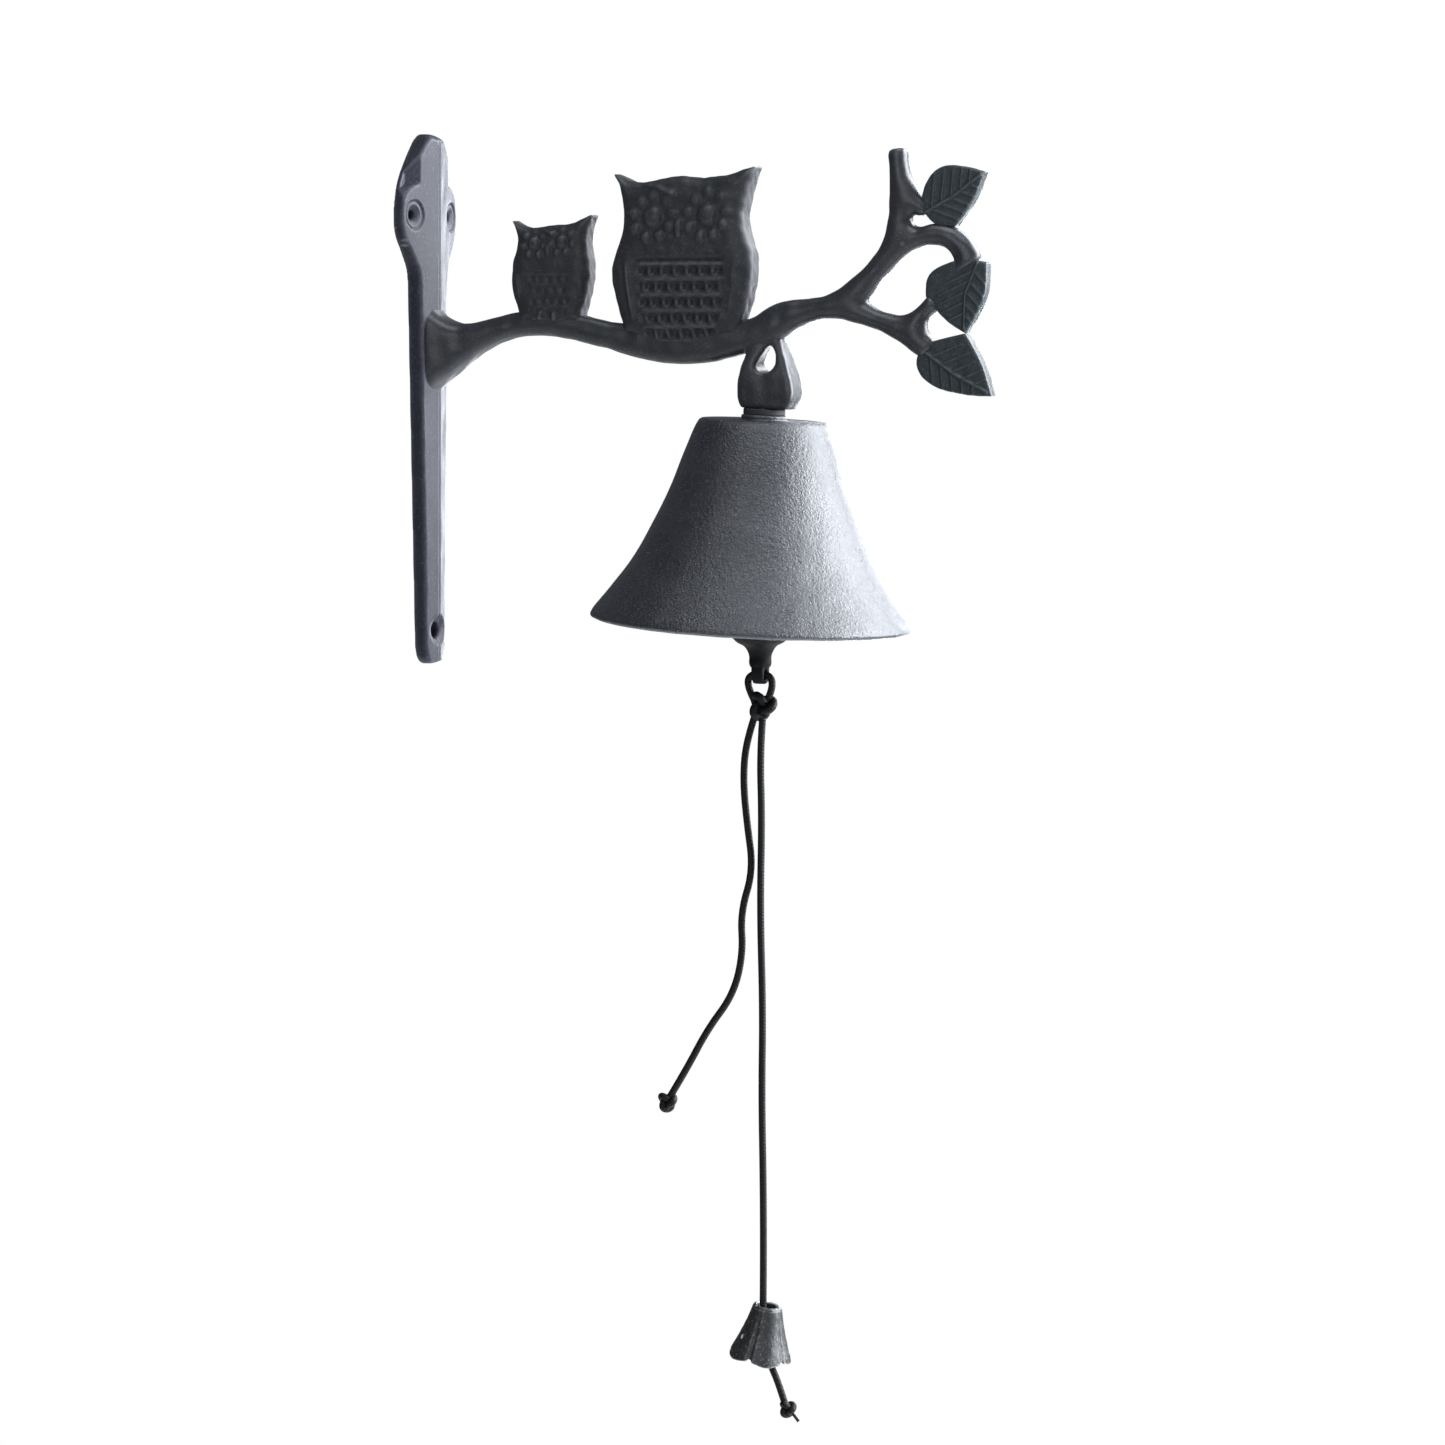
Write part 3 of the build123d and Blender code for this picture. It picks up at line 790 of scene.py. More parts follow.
@dataclass
class WallPlate:
    """Spade-headed wall plate with a low ridge, bevelled head, screw pads and countersunk holes."""

    outline: Sequence[Run] = (
        (
            (9.5, 34),
            (10.3, 41.5),
            (14.2, 47.6),
            (18.3, 53.2),
            (19.2, 59.5),
            (17.2, 68),
            (12.8, 75.2),
            (7.8, 81),
            (3.4, 84.8),
            (0, 85.8),
            (-3.4, 84.8),
            (-7.8, 81),
            (-12.8, 75.2),
            (-17.2, 68),
            (-19.2, 59.5),
            (-18.3, 53.2),
            (-14.2, 47.6),
            (-10.3, 41.5),
        ),
        ((-9.5, 34),),
        ((-6.6, -80), (-4.6, -84.3), (0, -85.8), (4.6, -84.3)),
        ((6.6, -80),),
    )
    screws: tuple[Point, Point] = ((-13.0, 59.5), (13.0, 59.5))
    screw_r: float = 1.5
    screw_sink_r: float = 4.4
    pad_r: float = 9.6
    foot_hole: Point = (0.0, -74.7)
    foot_r: float = 2.7
    foot_sink_r: float = 5.4
    ridge_foot: float = 5.9
    ridge_head: float = 7.5
    gable: float = math.tan(math.radians(10))
    bevel_start: float = 9.5
    bevel_slope: float = 0.95
    bevel_top: float = 5.9
    bevel_floor: float = 1.6
    pad_y: float = 10.0
    pad_fade: float = 1.1
    tip_edge: float = 3.0
    foot_edge: float = 2.6
    end_round_r: float = 3.2
    end_z: float = 85.8
    sink_slope: float = 0.5
    sink_floor: float = 1.2
    thinnest: float = 0.9
    voxel: float = 0.42

    def thickness(self, y: np.ndarray, z: np.ndarray) -> np.ndarray:
        """How far the front stands off the wall at each place."""
        ridge = self.ridge_foot + (self.ridge_head - self.ridge_foot) * (z + 90) / 180
        front = ridge - np.hypot(y, 0.5) * self.gable
        front -= 0.35 * line(y - 0.3, 0.42)
        bevel = self.bevel_top - (np.abs(y) - self.bevel_start) * self.bevel_slope
        bevel = np.where(z > self.screws[0][1] - 4, np.maximum(bevel, self.bevel_floor), np.inf)
        pads = np.hypot(np.abs(y) - self.pad_y, z - self.screws[0][1])
        off_pad = np.clip((pads - self.pad_r) / self.pad_fade, 0, 1)
        front = front * (1 - off_pad) + np.minimum(front, bevel) * off_pad
        for edge, inward in ((self.tip_edge, self.end_z - z), (self.foot_edge, z + self.end_z)):
            front = np.minimum(front, edge + 1.5 * np.sqrt(np.clip(inward, 0, None) * self.end_round_r))
        for (sy, sz), rim, hole in (
            (self.screws[0], self.screw_sink_r, self.screw_r),
            (self.screws[1], self.screw_sink_r, self.screw_r),
            (self.foot_hole, self.foot_sink_r, self.foot_r),
        ):
            away = np.hypot(y - sy, z - sz)
            cone = front - (rim - away) * self.sink_slope
            front = np.where(away < rim, np.maximum(cone, self.sink_floor), front)
            if hole == self.screw_r:
                front += -0.8 * line(away - rim, 0.4)
        return np.maximum(front, self.thinnest)

    def build(self, finishes: Finishes) -> bpy.types.Object:
        """Cuts the blank, drills it and raises its front."""
        holes = [[ring(place, self.screw_r)] for place in self.screws]
        holes.append([ring(self.foot_hole, self.foot_r)])
        bm = blank([self.outline, *holes], 1.0, Facing.ALONG_WALL)
        bm = softened(remeshed(bm, self.voxel), 2)
        for vert in bm.verts:
            vert.co.x = (vert.co.x + 1.0) / 2.0
        places = np.array([vert.co for vert in bm.verts])
        depth = self.thickness(places[:, 1], places[:, 2])
        depth += 0.05 * wander(places, 7.0, 3)
        for vert, deep in zip(bm.verts, depth):
            vert.co.x *= deep
        return to_frame(
            "wall_plate", to_mesh(bm, "wall_plate"), Body.MOUNTED, finishes.plate, "bracket_iron", "bracket"
        )


def ring(centre: Point, radius: float, points: int = 10) -> list[Point]:
    """A circle as smooth outline points. Its first point is a corner by rule, so the ring has many."""
    turns = [2 * math.pi * n / points for n in range(points)]
    return [(centre[0] + radius * math.cos(turn), centre[1] + radius * math.sin(turn)) for turn in turns]


@dataclass
class Branch:
    """The branch with its twigs and the lug that carries the bell, cast with rounded sections."""

    outline: Sequence[Run] = (
        ((-6, -3), (-6, 20)),
        ((-6, 36),),
        ((5.5, 30.6), (9.0, 27.4), (15.2, 25.2), (25, 26.5), (36, 28.9), (50, 29.2), (71, 25.2), (95, 25.6),
         (115, 26.4), (124, 31.2), (142, 34.2), (150, 39.4), (156, 45), (160.4, 53), (161.8, 66)),
        ((161.2, 77.9),),
        ((166.9, 78.4), (167.1, 72), (170.4, 65.2)),
        ((174.2, 60.5), (172.6, 58), (169.4, 58.6), (168.1, 55.9)),
        ((170.6, 53.6), (178, 54.9), (185.4, 51.8)),
        ((190.9, 45.2),),
        ((183, 40), (182.6, 45.8), (177.5, 49.2), (170, 48), (162.2, 41.7)),
        ((154, 31.4), (160, 28.4), (168, 27.4)),
        ((175, 33.2),),
        ((177.5, 29.6), (173.7, 26.4), (173.8, 21.6)),
        ((176.6, 18.8),),
        ((172.4, 14.6), (164, 20), (153.5, 24.1), (142, 26.2), (132, 23.6), (124, 18.4), (112, 14.8),
         (97, 12.1), (82, 12.9), (63, 17.7), (41, 20.9), (28.3, 18.3), (12, 8.0), (6, 3.5)),
    )
    lug_outline: Sequence[Run] = (
        ((116.8, 24), (114.9, 15), (112.9, 8), (112.8, 1.5)),
        ((114.8, -3),),
        ((128.6, -3), (131.0, 2.5), (130.0, 9), (127.0, 17.5)),
        ((124.6, 24),),
    )
    window: Sequence[Run] = (
        ((118.2, 11.8), (119.8, 9.8), (122.6, 9.6), (124.8, 11.4), (125.2, 14.4), (124.2, 17.2),
         (122.8, 18.4), (120.3, 16.0)),
    )
    half: float = 4.6
    swell_x: tuple[float, ...] = (158, 170)
    swell: tuple[float, ...] = (-0.3, 0.4)
    pillow: float = 5.2
    back_gap: float = 1.2
    lug_half: float = 5.4
    lug_z: tuple[float, ...] = (8, 15, 21)
    lug_share: tuple[float, ...] = (1.0, 0.82, 0.5)
    plan_x: tuple[float, ...] = (0, 7, 16, 34, 142, 162, 196)
    plan_half: tuple[float, ...] = (7.8, 7.2, 5.8, 4.6, 4.6, 3.8, 2.9)
    voxel: float = 0.5

    def build(self, finishes: Finishes) -> bpy.types.Object:
        """Builds the limb and the lug and fuses them."""
        limb = blank([self.outline], self.half, Facing.ALONG_ARM)
        limb = softened(remeshed(limb, self.voxel), 16)
        pillowed(limb, self.outline, self.pillow, 0.35)
        for vert in limb.verts:
            vert.co.y *= float(np.interp(vert.co.x, self.plan_x, self.plan_half)) / self.half
        limb.normal_update()
        for vert in limb.verts:
            vert.co += vert.normal * float(np.interp(vert.co.x, self.swell_x, self.swell))
            vert.co.x = max(vert.co.x, self.back_gap)
        lug = blank([self.lug_outline, self.window], self.lug_half, Facing.ALONG_ARM)
        lug = softened(remeshed(lug, self.voxel), 6)
        for vert in lug.verts:
            vert.co.y *= float(np.interp(vert.co.z, self.lug_z, self.lug_share))
        self.trim(lug)
        whole = softened(remeshed(joined([limb, lug]), self.voxel), 5)
        mesh = to_mesh(whole, "branch")
        shift_along_normals(mesh, lambda places, normals: 0.12 + 0.10 * wander(places, 6.0, 5))
        return to_frame("branch", mesh, Body.MOUNTED, finishes.branch, "bracket_iron")

    def trim(self, lug: bmesh.types.BMesh) -> None:
        """Cuts the lug's foot flat, square to the leaning bell axis."""
        seat = Hanging.point(0)
        cut = bmesh.ops.bisect_plane(
            lug,
            geom=[*lug.verts, *lug.edges, *lug.faces],
            plane_co=(seat.x, seat.y, seat.z + 0.25),
            plane_no=-Hanging.up(),
            clear_outer=True,
        )
        rim = [edge for edge in cut["geom_cut"] if isinstance(edge, bmesh.types.BMEdge)]
        bmesh.ops.holes_fill(lug, edges=rim)


@dataclass
class Owl:
    """A flat cast owl with rounded edges and low relief on both faces."""

    name: str
    outline: Sequence[Run]
    half: float
    relief: OwlRelief
    voxel: float
    rounds: int
    pillow: float
    wear_rounds: int = 4

    def build(self, finishes: Finishes) -> bpy.types.Object:
        """Builds the blank, rounds it and raises the relief."""
        bm = softened(remeshed(blank([self.outline], self.half, Facing.ALONG_ARM), self.voxel), self.rounds)
        pillowed(bm, self.outline, self.pillow, 0.42)
        mesh = to_mesh(bm, self.name)

        def height(places: np.ndarray, normals: np.ndarray) -> np.ndarray:
            """Relief on the two faces only."""
            relief = on_faces(normals) * self.relief(places[:, 0], places[:, 2])
            return relief + 0.14 * wander(places, 4.0, 11) + 0.1

        shift_along_normals(mesh, height)
        worn = bmesh.new()
        worn.from_mesh(mesh)
        bpy.data.meshes.remove(mesh)
        mesh = to_mesh(softened(worn, self.wear_rounds), self.name)
        return to_frame(self.name, mesh, Body.MOUNTED, finishes.owl, "bracket_iron")


@dataclass
class Leaf:
    """A flat cast leaf with raised veins."""

    name: str
    outline: Sequence[Run]
    veins: LeafVeins
    half: float = 2.4
    voxel: float = 0.3

    def build(self, finishes: Finishes) -> bpy.types.Object:
        """Builds the blank, rounds it and raises the veins."""
        bm = softened(remeshed(blank([self.outline], self.half, Facing.ALONG_ARM), self.voxel), 7)
        mesh = to_mesh(bm, self.name)

        def height(places: np.ndarray, normals: np.ndarray) -> np.ndarray:
            """Veins on the two faces only."""
            veins = on_faces(normals) * self.veins(places[:, 0], places[:, 2])
            return veins + 0.05 * wander(places, 3.0, 17)

        shift_along_normals(mesh, height)
        return to_frame(self.name, mesh, Body.MOUNTED, finishes.leaf, "bracket_iron")


class Bracket:
    """The one-piece casting, drawn as its plate, branch, owls and leaves."""

    large_owl = Owl(
        "large_owl",
        (
            ((74.0, 22), (70.2, 34.5), (69.3, 41.5), (73.3, 56), (72.2, 67)),
            ((69.8, 72.2), (77, 69.2), (84, 69.7), (92, 70.9), (100, 70.2), (109.6, 71.4)),
            ((118.2, 73.8), (115.1, 64), (114.0, 57.4), (117.0, 44.2), (115.2, 31.5)),
            ((111.8, 22), (93, 18)),
        ),
        6.0,
        OwlRelief(
            eyes=((84.6, 58.2), (103.0, 58.6)),
            eye_size=(3.0, 3.2),
            petal_ring_r=6.5,
            petal_size=(1.6, 1.9),
            petals=9,
            beak=(93.4, 54.6),
            brow=((82.5, 68.4), (91.2, 65.4)),
            chest_z=44.6,
            foot_z=19.0,
            row_pitch=4.95,
            column_pitch=4.3,
            chest_x=(78.8, 109.0),
            waist_x=(81.5, 105.0),
            depth=1.25,
        ),
        0.36,
        14,
        6.5,
    )
    small_owl = Owl(
        "small_owl",
        (
            ((37.6, 26), (34.2, 36.5), (34.4, 43), (36.2, 52.5)),
            ((34.0, 57.8), (39.4, 55.4), (48, 56.0), (54.8, 56.6)),
            ((62.3, 59.4), (60.4, 52.6), (61.2, 41)),
            ((57.8, 26), (48, 24)),
        ),
        5.0,
        OwlRelief(
            eyes=((42.9, 50.4), (52.6, 50.8)),
            eye_size=(1.8, 2.0),
            petal_ring_r=3.7,
            petal_size=(1.0, 1.3),
            petals=7,
            beak=(47.8, 48.6),
            brow=((44.6, 55.0), (49.0, 53.4)),
            chest_z=41.2,
            foot_z=25.0,
            row_pitch=3.5,
            column_pitch=3.0,
            chest_x=(40.4, 56.0),
            waist_x=(42.0, 54.0),
            feet=((44.7, 27.6), (49.8, 27.2)),
            depth=0.9,
            feather_depth=0.4,
        ),
        0.30,
        12,
        5.0,
    )
    leaves = (
        Leaf(
            "upper_leaf",
            (
                ((172, 61), (173.6, 67.4), (178.4, 72.4), (185.4, 72.6)),
                ((192.6, 70.8), (189.4, 63)),
                ((183.4, 54.4), (177.5, 54.9), (174, 57.6)),
            ),
            LeafVeins((173.4, 58.6), (191.5, 70.0), 8.5, bow=-0.8),
        ),
        Leaf(
            "middle_leaf",
            (
                ((173.8, 33), (174.6, 39.2), (180.7, 43.2), (187, 44.2)),
                ((193.6, 43.4), (193, 34), (190, 27)),
                ((186.7, 21.8), (180.2, 26)),
            ),
            LeafVeins((190.6, 43.2), (186.4, 23.4), 9.5, bow=-1.8),
        ),
        Leaf(
            "lower_leaf",
            (
                ((186.9, 21.9), (192.4, 12)),
                ((195.5, 2.6), (186, 3.2), (174.6, 6.9), (171, 12)),
                ((172.5, 18.4), (179, 20.2)),
            ),
            LeafVeins((173.4, 16.4), (194.0, 3.8), 8.0, bow=-0.8),
        ),
    )

    def build(self, finishes: Finishes) -> None:
        """Builds every region of the casting."""
        WallPlate().build(finishes)
        Branch().build(finishes)
        self.large_owl.build(finishes)
        self.small_owl.build(finishes)
        for leaf in self.leaves:
            leaf.build(finishes)


# ---------------------------------------------------------------------------------------------------------
# Bell, clapper and hanging hardware
# ---------------------------------------------------------------------------------------------------------


class Hanging:
    """The leaning axis of the bell, in millimetres."""

    top = Vector((120.0, 0.0, -1.7))
    lean = math.radians(2.8)
    plumb_x = 118.7104

    @classmethod
    def up(cls) -> Vector:
        """Direction up the leaning axis."""
        return Vector((math.sin(cls.lean), 0, math.cos(cls.lean)))

    @classmethod
    def point(cls, below: float) -> Vector:
        """Point on the axis a distance below the lug."""
        return cls.top - cls.up() * below

    @classmethod
    def place(cls, bm: bmesh.types.BMesh) -> bmesh.types.BMesh:
        """Moves a shape turned about Z with its zero at the lug onto the leaning axis."""
        matrix = Matrix.Translation(cls.top) @ Matrix.Rotation(cls.lean, 4, "Y")
        bmesh.ops.transform(bm, matrix=matrix, verts=bm.verts)
        return bm


@dataclass
class Bell:
    """Flared cast bell with a flat crown, a boss and a thick rounded lip."""

    profile: Sequence[Run] = (
        ((3.3, -1.9),),
        ((6.7, -1.9), (7.1, -2.2)),
        ((7.1, -3.2),),
        ((7.5, -3.6),),
        ((19.6, -3.6), (20.4, -4.2), (24.1, -13), (28.5, -25.8), (33.6, -37.2), (39, -48), (45.4, -57.4),
         (51.8, -66.0), (51.9, -66.9), (50.6, -67.7)),
        ((47.6, -67.7), (40.2, -57.6), (33.9, -48), (28.8, -37.2), (23.8, -25.8), (19.4, -13.5), (17.6, -9.0),
         (15.5, -8)),
        ((3.3, -8),),
        ((3.3, -1.9),),
    )
    steps: int = 256

    def build(self, finishes: Finishes) -> bpy.types.Object:
        """Spins the wall and roughens it a little."""
        bm = Hanging.place(turned(self.profile, self.steps, 10))
        mesh = to_mesh(bm, "bell")
        shift_along_normals(mesh, lambda places, normals: 0.07 * wander(places, 9.0, 23) * self.free(places))
        return to_frame("bell", mesh, Body.MOUNTED, finishes.bell, "bell_iron", "bell")

    @staticmethod
    def free(places: np.ndarray) -> np.ndarray:
        """1 on the flared wall, 0 near the crown's fittings."""
        axis = np.array(Hanging.up())
        below = (np.array(Hanging.top) - places) @ axis
        return np.clip((below - 9.0) / 6.0, 0, 1)


@dataclass
class Clapper:
    """Cast clapper: eye, rod, ball and a flattened tongue with the cord's hole."""

    eye_z: float = -43.97
    eye_major: float = 4.0
    eye_wire: float = 1.5
    ball_z: float = -66.5
    ball_r: float = 11.5
    hole_z: float = -85.3
    voxel: float = 0.3

    def build(self, finishes: Finishes) -> bpy.types.Object:
        """Turns the body, adds the eye and the tongue and fuses them."""
        rod_top = self.eye_z - self.eye_major
        top = self.ball_z + self.ball_r
        body = turned(
            (
                ((0, rod_top),),
                ((2.5, rod_top),),
                ((2.5, top - 0.6), (4.4, top - 1.2), (8.2, self.ball_z + 8.1), (11.5, self.ball_z),
                 (10.6, self.ball_z - 4.6), (7.9, self.ball_z - 8.36), (5.0, self.ball_z - 10.2),
                 (3.7, self.ball_z - 12.6), (3.0, self.ball_z - 16.7)),
                ((0, self.ball_z - 16.7),),
            ),
            48,
        )
        eye = bmesh.new()
        bmesh.ops.create_circle(eye, segments=16, radius=self.eye_wire)
        bmesh.ops.translate(eye, verts=eye.verts, vec=(0, self.eye_major, self.eye_z))
        bmesh.ops.spin(
            eye,
            geom=[*eye.verts, *eye.edges],
            cent=(0, 0, self.eye_z),
            axis=(1, 0, 0),
            angle=2 * math.pi,
            steps=40,
            use_merge=True,
        )
        bmesh.ops.remove_doubles(eye, verts=eye.verts, dist=0.001)
        bmesh.ops.recalc_face_normals(eye, faces=eye.faces)
        tongue = blank(
            [
                (((-3.0, -80), (-3.2, -83), (-3.2, -85.3), (-2.3, -87.7), (0, -88.5), (2.3, -87.7),
                  (3.2, -85.3), (3.2, -83), (3.0, -80)),),
                (ring((0, self.hole_z), 1.6),),
            ],
            2.0,
            Facing.ALONG_WALL,
        )
        whole = softened(remeshed(joined([body, eye, tongue]), self.voxel), 4)
        bmesh.ops.translate(whole, verts=whole.verts, vec=(Hanging.plumb_x, 0, 0))
        mesh = to_mesh(whole, "clapper")
        shift_along_normals(mesh, lambda places, normals: 0.04 * wander(places, 4.0, 29))
        return to_frame("clapper", mesh, Body.CLAPPER, finishes.clapper, "clapper_iron", "clapper")


class Hardware:
    """CAD nodes whose shape is right as it is: they get their finishes only."""

    def build(self, finishes: Finishes) -> None:
        """Gives each carried-over node its material."""
        chosen = {
            "isolating_washer": finishes.rubber,
            "eye_bolt": finishes.fixing,
            "crown_washer": finishes.fixing,
            "hex_nut": finishes.fixing,
            "s_hook": finishes.wire,
        }
        for name, material in chosen.items():
            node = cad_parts[name]
            node.data.materials.clear()
            node.data.materials.append(material)
            LOG.info("%s: finish %s", name, material.name)


# ---------------------------------------------------------------------------------------------------------
# Cord and pull
# ---------------------------------------------------------------------------------------------------------


@dataclass
class Cord:
    """Doubled cord: a loop and knot at the tongue, two hanging ends and their knots."""

    radius: float = 1.15
    loop: Sequence[Point] = (
        (117.51, -95.2),
        (114.11, -89.6),
        (115.11, -85.3),
        (122.31, -85.3),
        (123.01, -90.2),
        (120.31, -95.2),
    )
    long_route: Sequence[Point] = (
        (119.5, -99.2),
        (118.6, -111),
        (119.3, -131),
        (118.7, -160),
        (119.7, -193),
        (119.3, -220),
        (119.9, -250),
        (120.0, -276),
        (119.8, -297),
        (120.6, -303.4),
        (122.9, -309.4),
        (125.2, -314.2),
        (127.6, -321.2),
    )
    short_route: Sequence[Point] = (
        (117.0, -98.3),
        (113.7, -107.5),
        (112.9, -120),
        (114.2, -133),
        (116.4, -148),
        (112.0, -162),
        (112.9, -175),
        (109.6, -188.6),
        (100.6, -200.6),
        (93.6, -213.6),
        (87.3, -223.9),
    )
    fray: Sequence[Point] = ((128.6, -322.2), (130.4, -324.0), (132.2, -326.2))
    fray_r: float = 0.5
    knots: Sequence[tuple[str, str, tuple[Point, float, float, float]]] = (
        ("main_knot", "cord_knot", ((119.3, -95.4), 3.9, 1.4, 20)),
        ("stop_knot", "stop_knot", ((119.9, -300.2), 2.4, 1.15, 50)),
        ("short_end_knot", "short_end_knot", ((86.6, -225.2), 2.6, 1.15, 125)),
        ("tail_knot", "tail_knot", ((128.4, -322.4), 2.1, 1.1, 10)),
    )

    def strand(self, name: str, route: Sequence[Point], radius: float) -> bpy.types.Object:
        """A smooth round cord along given points, in metres."""
        curve = bpy.data.curves.new(name, "CURVE")
        curve.dimensions = "3D"
        curve.bevel_depth = radius * MM
        curve.bevel_resolution = 5
        curve.use_fill_caps = True
        curve.resolution_u = 12
        spline = curve.splines.new("NURBS")
        spline.points.add(len(route) - 1)
        for point, (x, z) in zip(spline.points, route):
            point.co = (x * MM, 0, z * MM, 1)
        spline.order_u = 3
        spline.use_endpoint_u = True
        piece = bpy.data.objects.new(name, curve)
        bpy.context.scene.collection.objects.link(piece)
        return piece

    def knot(self, name: str, centre: Point, size: float, radius: float, turn: float) -> bpy.types.Mesh:
        """A tied overhand knot: its cord runs along a trefoil.

        Args:
            name: Name of the mesh.
            centre: Its middle, in millimetres.
            size: Distance from its middle to the outermost centreline.
            radius: Radius of its cord.
            turn: Turn about Y, in degrees.

        Returns:
            The knot's mesh, in millimetres.
        """
        curve = bpy.data.curves.new(name, "CURVE")
        curve.dimensions = "3D"
        curve.bevel_depth = radius
        curve.bevel_resolution = 4
        curve.resolution_u = 6
        spline = curve.splines.new("NURBS")
        count = 30
        spline.points.add(count - 1)
        for n, point in enumerate(spline.points):
            t = 2 * math.pi * n / count
            x = (math.sin(t) + 2 * math.sin(2 * t)) * size / 3
            z = (math.cos(t) - 2 * math.cos(2 * t)) * size / 3
            y = -math.sin(3 * t) * radius * 1.05
            point.co = (x, y, z, 1)
        spline.order_u = 4
        spline.use_cyclic_u = True
        holder = bpy.data.objects.new(name, curve)
        mesh = bpy.data.meshes.new_from_object(holder)
        bpy.data.objects.remove(holder)
        bpy.data.curves.remove(curve)
        place = Matrix.Translation((centre[0], 0, centre[1]))
        mesh.transform(place @ Matrix.Rotation(math.radians(turn), 4, "Y"))
        return mesh

    def dressed(self, piece: bpy.types.Object, finishes: Finishes, *nodes: str) -> bpy.types.Object:
        """Gives a strand its finish and its body, and hides the CAD nodes that it stands for."""
        piece.data.materials.append(finishes.cord)
        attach(piece, Body.CORD.value)
        if nodes:
            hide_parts(*nodes)
        return piece

    def build(self, finishes: Finishes, pull: bpy.types.Object) -> None:
        loop = self.dressed(self.strand("tongue_loop", self.loop, self.radius), finishes)
        long_end = self.dressed(
            self.strand("long_cord", self.long_route, self.radius), finishes, "long_cord", "tail_cord"
        )
        short_end = self.dressed(
            self.strand("short_cord", self.short_route, self.radius), finishes, "short_cord"
        )
        main, stop, short_knot, tail_knot = (
            to_frame(name, self.knot(name, *shape), Body.CORD, finishes.cord, "cord", node)
            for name, node, shape in self.knots
        )
        fray = self.dressed(self.strand("tail_fray", self.fray, self.fray_r), finishes)
        LOG.info("cord: two hanging ends, four knots")


@dataclass
class PullWeight:
    """A cast five-petalled flower, upside down, with the cord through its throat."""

    top: Point = (121.5, -289.0)
    lean_deg: float = 9.5
    petals: int = 5
    front_petal_deg: float = -55.0
    profile: Sequence[Run] = (
        ((3.3, -0.2),),
        ((3.7, 0.1), (4.2, -0.1)),
        ((4.6, -0.7), (5.6, -4.6), (6.9, -9), (8.3, -13), (9.6, -16.6), (9.7, -17.2)),
        ((9.0, -17.4), (7.7, -16.6), (6.2, -12), (4.6, -7.6), (3.4, -4)),
        ((3.3, -0.2),),
    )
    steps: int = 160

    def build(self, finishes: Finishes) -> bpy.types.Object:
        """Spins the wall, then draws the petals into it."""
        bm = turned(self.profile, self.steps, 9)
        front = math.radians(self.front_petal_deg)
        for vert in bm.verts:
            angle = math.atan2(vert.co.y, vert.co.x) - front
            below = min(max(-vert.co.z / 17.4, 0.0), 1.0)
            lobe = math.cos(self.petals * angle)
            valley = math.exp(-(((1 + lobe) / 0.12) ** 2))
            swell = 1.03 + 0.03 * below * lobe - 0.055 * below**0.6 * valley
            vert.co.x *= swell
            vert.co.y *= swell
            vert.co.z -= below**4 * (0.4 * lobe - 0.8 * valley)
        bm.normal_update()
        matrix = Matrix.Translation((self.top[0], 0, self.top[1])) @ Matrix.Rotation(
            math.radians(self.lean_deg), 4, "Y"
        )
        bmesh.ops.transform(bm, matrix=matrix, verts=bm.verts)
        mesh = to_mesh(bm, "pull_weight")
        shift_along_normals(mesh, lambda places, normals: 0.05 * wander(places, 3.0, 31))
        return to_frame("pull_weight", mesh, Body.PULL, finishes.pull, "pull_iron", "pull_weight")


# ---------------------------------------------------------------------------------------------------------
# Studio
# ---------------------------------------------------------------------------------------------------------


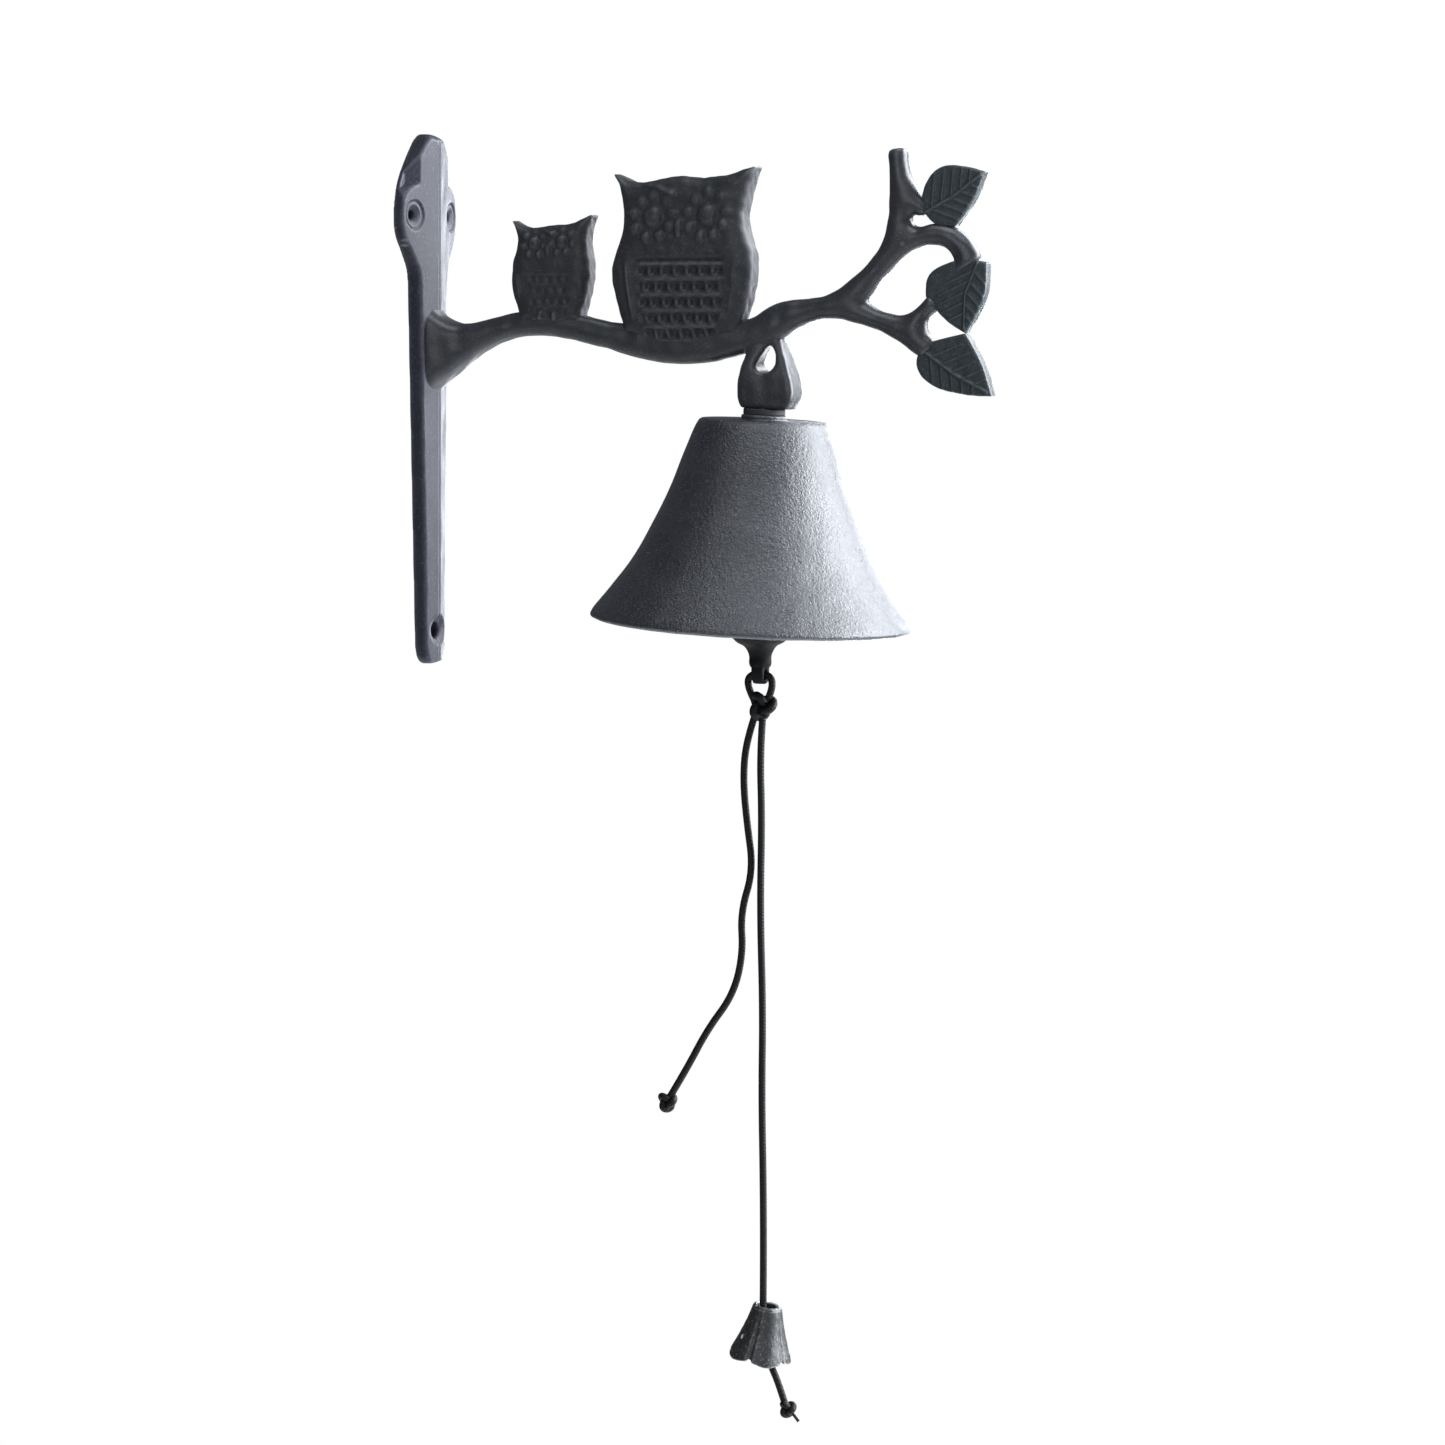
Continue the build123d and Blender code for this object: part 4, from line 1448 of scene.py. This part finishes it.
@dataclass
class Studio:
    """Pale floor, soft lights and the camera."""

    azimuth_deg: float = 22.0
    pitch_deg: float = 5.94
    distance: float = 1.2
    lens_mm: float = 94.02
    target: tuple[float, float, float] = (0.1058, 0.0, -0.10126)
    floor_drop: float = 0.9

    def build(self) -> None:
        """Sets up the floor, the world, the lights and the camera."""
        self.floor()
        self.world()
        self.softbox("side light", (1.15, 0.52, 0.28), 1.3, 84.0)
        self.softbox("rim light", (0.42, 1.05, 0.62), 0.6, 10.0)
        self.softbox("back card", (-0.02, 1.30, -0.14), 0.6, 12.0)
        self.softbox("top light", (0.25, -0.35, 1.1), 0.7, 9.0)
        self.softbox("front light", (0.2, -1.5, 0.35), 1.0, 7.0)
        self.camera()

    def floor(self) -> None:
        """A wide plain floor, far enough below to catch no shadow in view."""
        bm = bmesh.new()
        bmesh.ops.create_grid(bm, x_segments=1, y_segments=1, size=40)
        bmesh.ops.translate(bm, verts=bm.verts, vec=(0, 0, -self.floor_drop))
        mesh = bpy.data.meshes.new("floor")
        bm.to_mesh(mesh)
        bm.free()
        floor = bpy.data.objects.new("floor", mesh)
        bpy.context.scene.collection.objects.link(floor)
        material, shader, surface = new_material("pale floor")
        surface.inputs["Base Color"].default_value = (0.8, 0.8, 0.8, 1)
        surface.inputs["Roughness"].default_value = 0.9
        glow = shader.add("ShaderNodeEmission", Strength=1.0)
        self.split(shader, surface, glow, "Material Output")
        mesh.materials.append(material)

    def world(self) -> None:
        """White behind the object, a soft grey room for its light."""
        world = bpy.data.worlds.new("studio")
        world.use_nodes = True
        bpy.context.scene.world = world
        shader = Shader(world.node_tree)
        room = world.node_tree.nodes["Background"]
        room.inputs["Color"].default_value = (0.86, 0.94, 1.0, 1)
        room.inputs["Strength"].default_value = 0.12
        white = shader.add("ShaderNodeBackground", Strength=1.0)
        white.inputs["Color"].default_value = (1, 1, 1, 1)
        self.split(shader, room, white, "World Output")
        view = bpy.context.scene.view_settings
        view.view_transform = "Standard"
        view.look = "None"

    @staticmethod
    def split(shader: Shader, lighting: bpy.types.Node, backdrop: bpy.types.Node, output: str) -> None:
        """Gives the view a plain backdrop, while the other shader lights the object."""
        blend = shader.add("ShaderNodeMixShader")
        seen = shader.add("ShaderNodeLightPath").outputs["Is Camera Ray"]
        for socket, source in zip(blend.inputs, (seen, lighting.outputs[0], backdrop.outputs[0])):
            shader.join(source, socket)
        shader.join(blend.outputs[0], shader.tree.nodes[output].inputs["Surface"])

    def softbox(self, name: str, place: tuple[float, float, float], size: float, watts: float) -> None:
        """A square soft light aimed at the object."""
        lamp = bpy.data.lights.new(name, "AREA")
        lamp.shape = "SQUARE"
        lamp.size = size
        lamp.energy = watts
        lamp.color = (0.91, 0.95, 1.0)
        light = bpy.data.objects.new(name, lamp)
        light.location = place
        aim = Vector(self.target) - Vector(place)
        light.rotation_euler = aim.to_track_quat("-Z", "Y").to_euler()
        bpy.context.scene.collection.objects.link(light)

    def camera(self) -> None:
        """The camera, level with the top of the bell and looking slightly down."""
        turn = math.radians(self.azimuth_deg)
        pitch = math.radians(self.pitch_deg)
        back = Vector((math.sin(turn) * math.cos(pitch), -math.cos(turn) * math.cos(pitch), math.sin(pitch)))
        lens = bpy.data.cameras.new("camera")
        lens.lens = self.lens_mm
        lens.sensor_width = 36.0
        camera = bpy.data.objects.new("camera", lens)
        camera.location = Vector(self.target) + back * self.distance
        camera.rotation_mode = "QUATERNION"
        camera.rotation_quaternion = (-back).to_track_quat("-Z", "Y")
        bpy.context.scene.collection.objects.link(camera)
        bpy.context.scene.camera = camera


def main() -> None:
    """Builds the object round the frame, then the studio."""
    logging.basicConfig(level=logging.INFO, format="%(message)s")
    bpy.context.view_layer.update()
    finishes = Finishes()
    Bracket().build(finishes)
    Bell().build(finishes)
    Clapper().build(finishes)
    Hardware().build(finishes)
    pull = PullWeight().build(finishes)
    Cord().build(finishes, pull)
    Studio().build()
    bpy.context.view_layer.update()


if __name__ == "__main__":
    main()
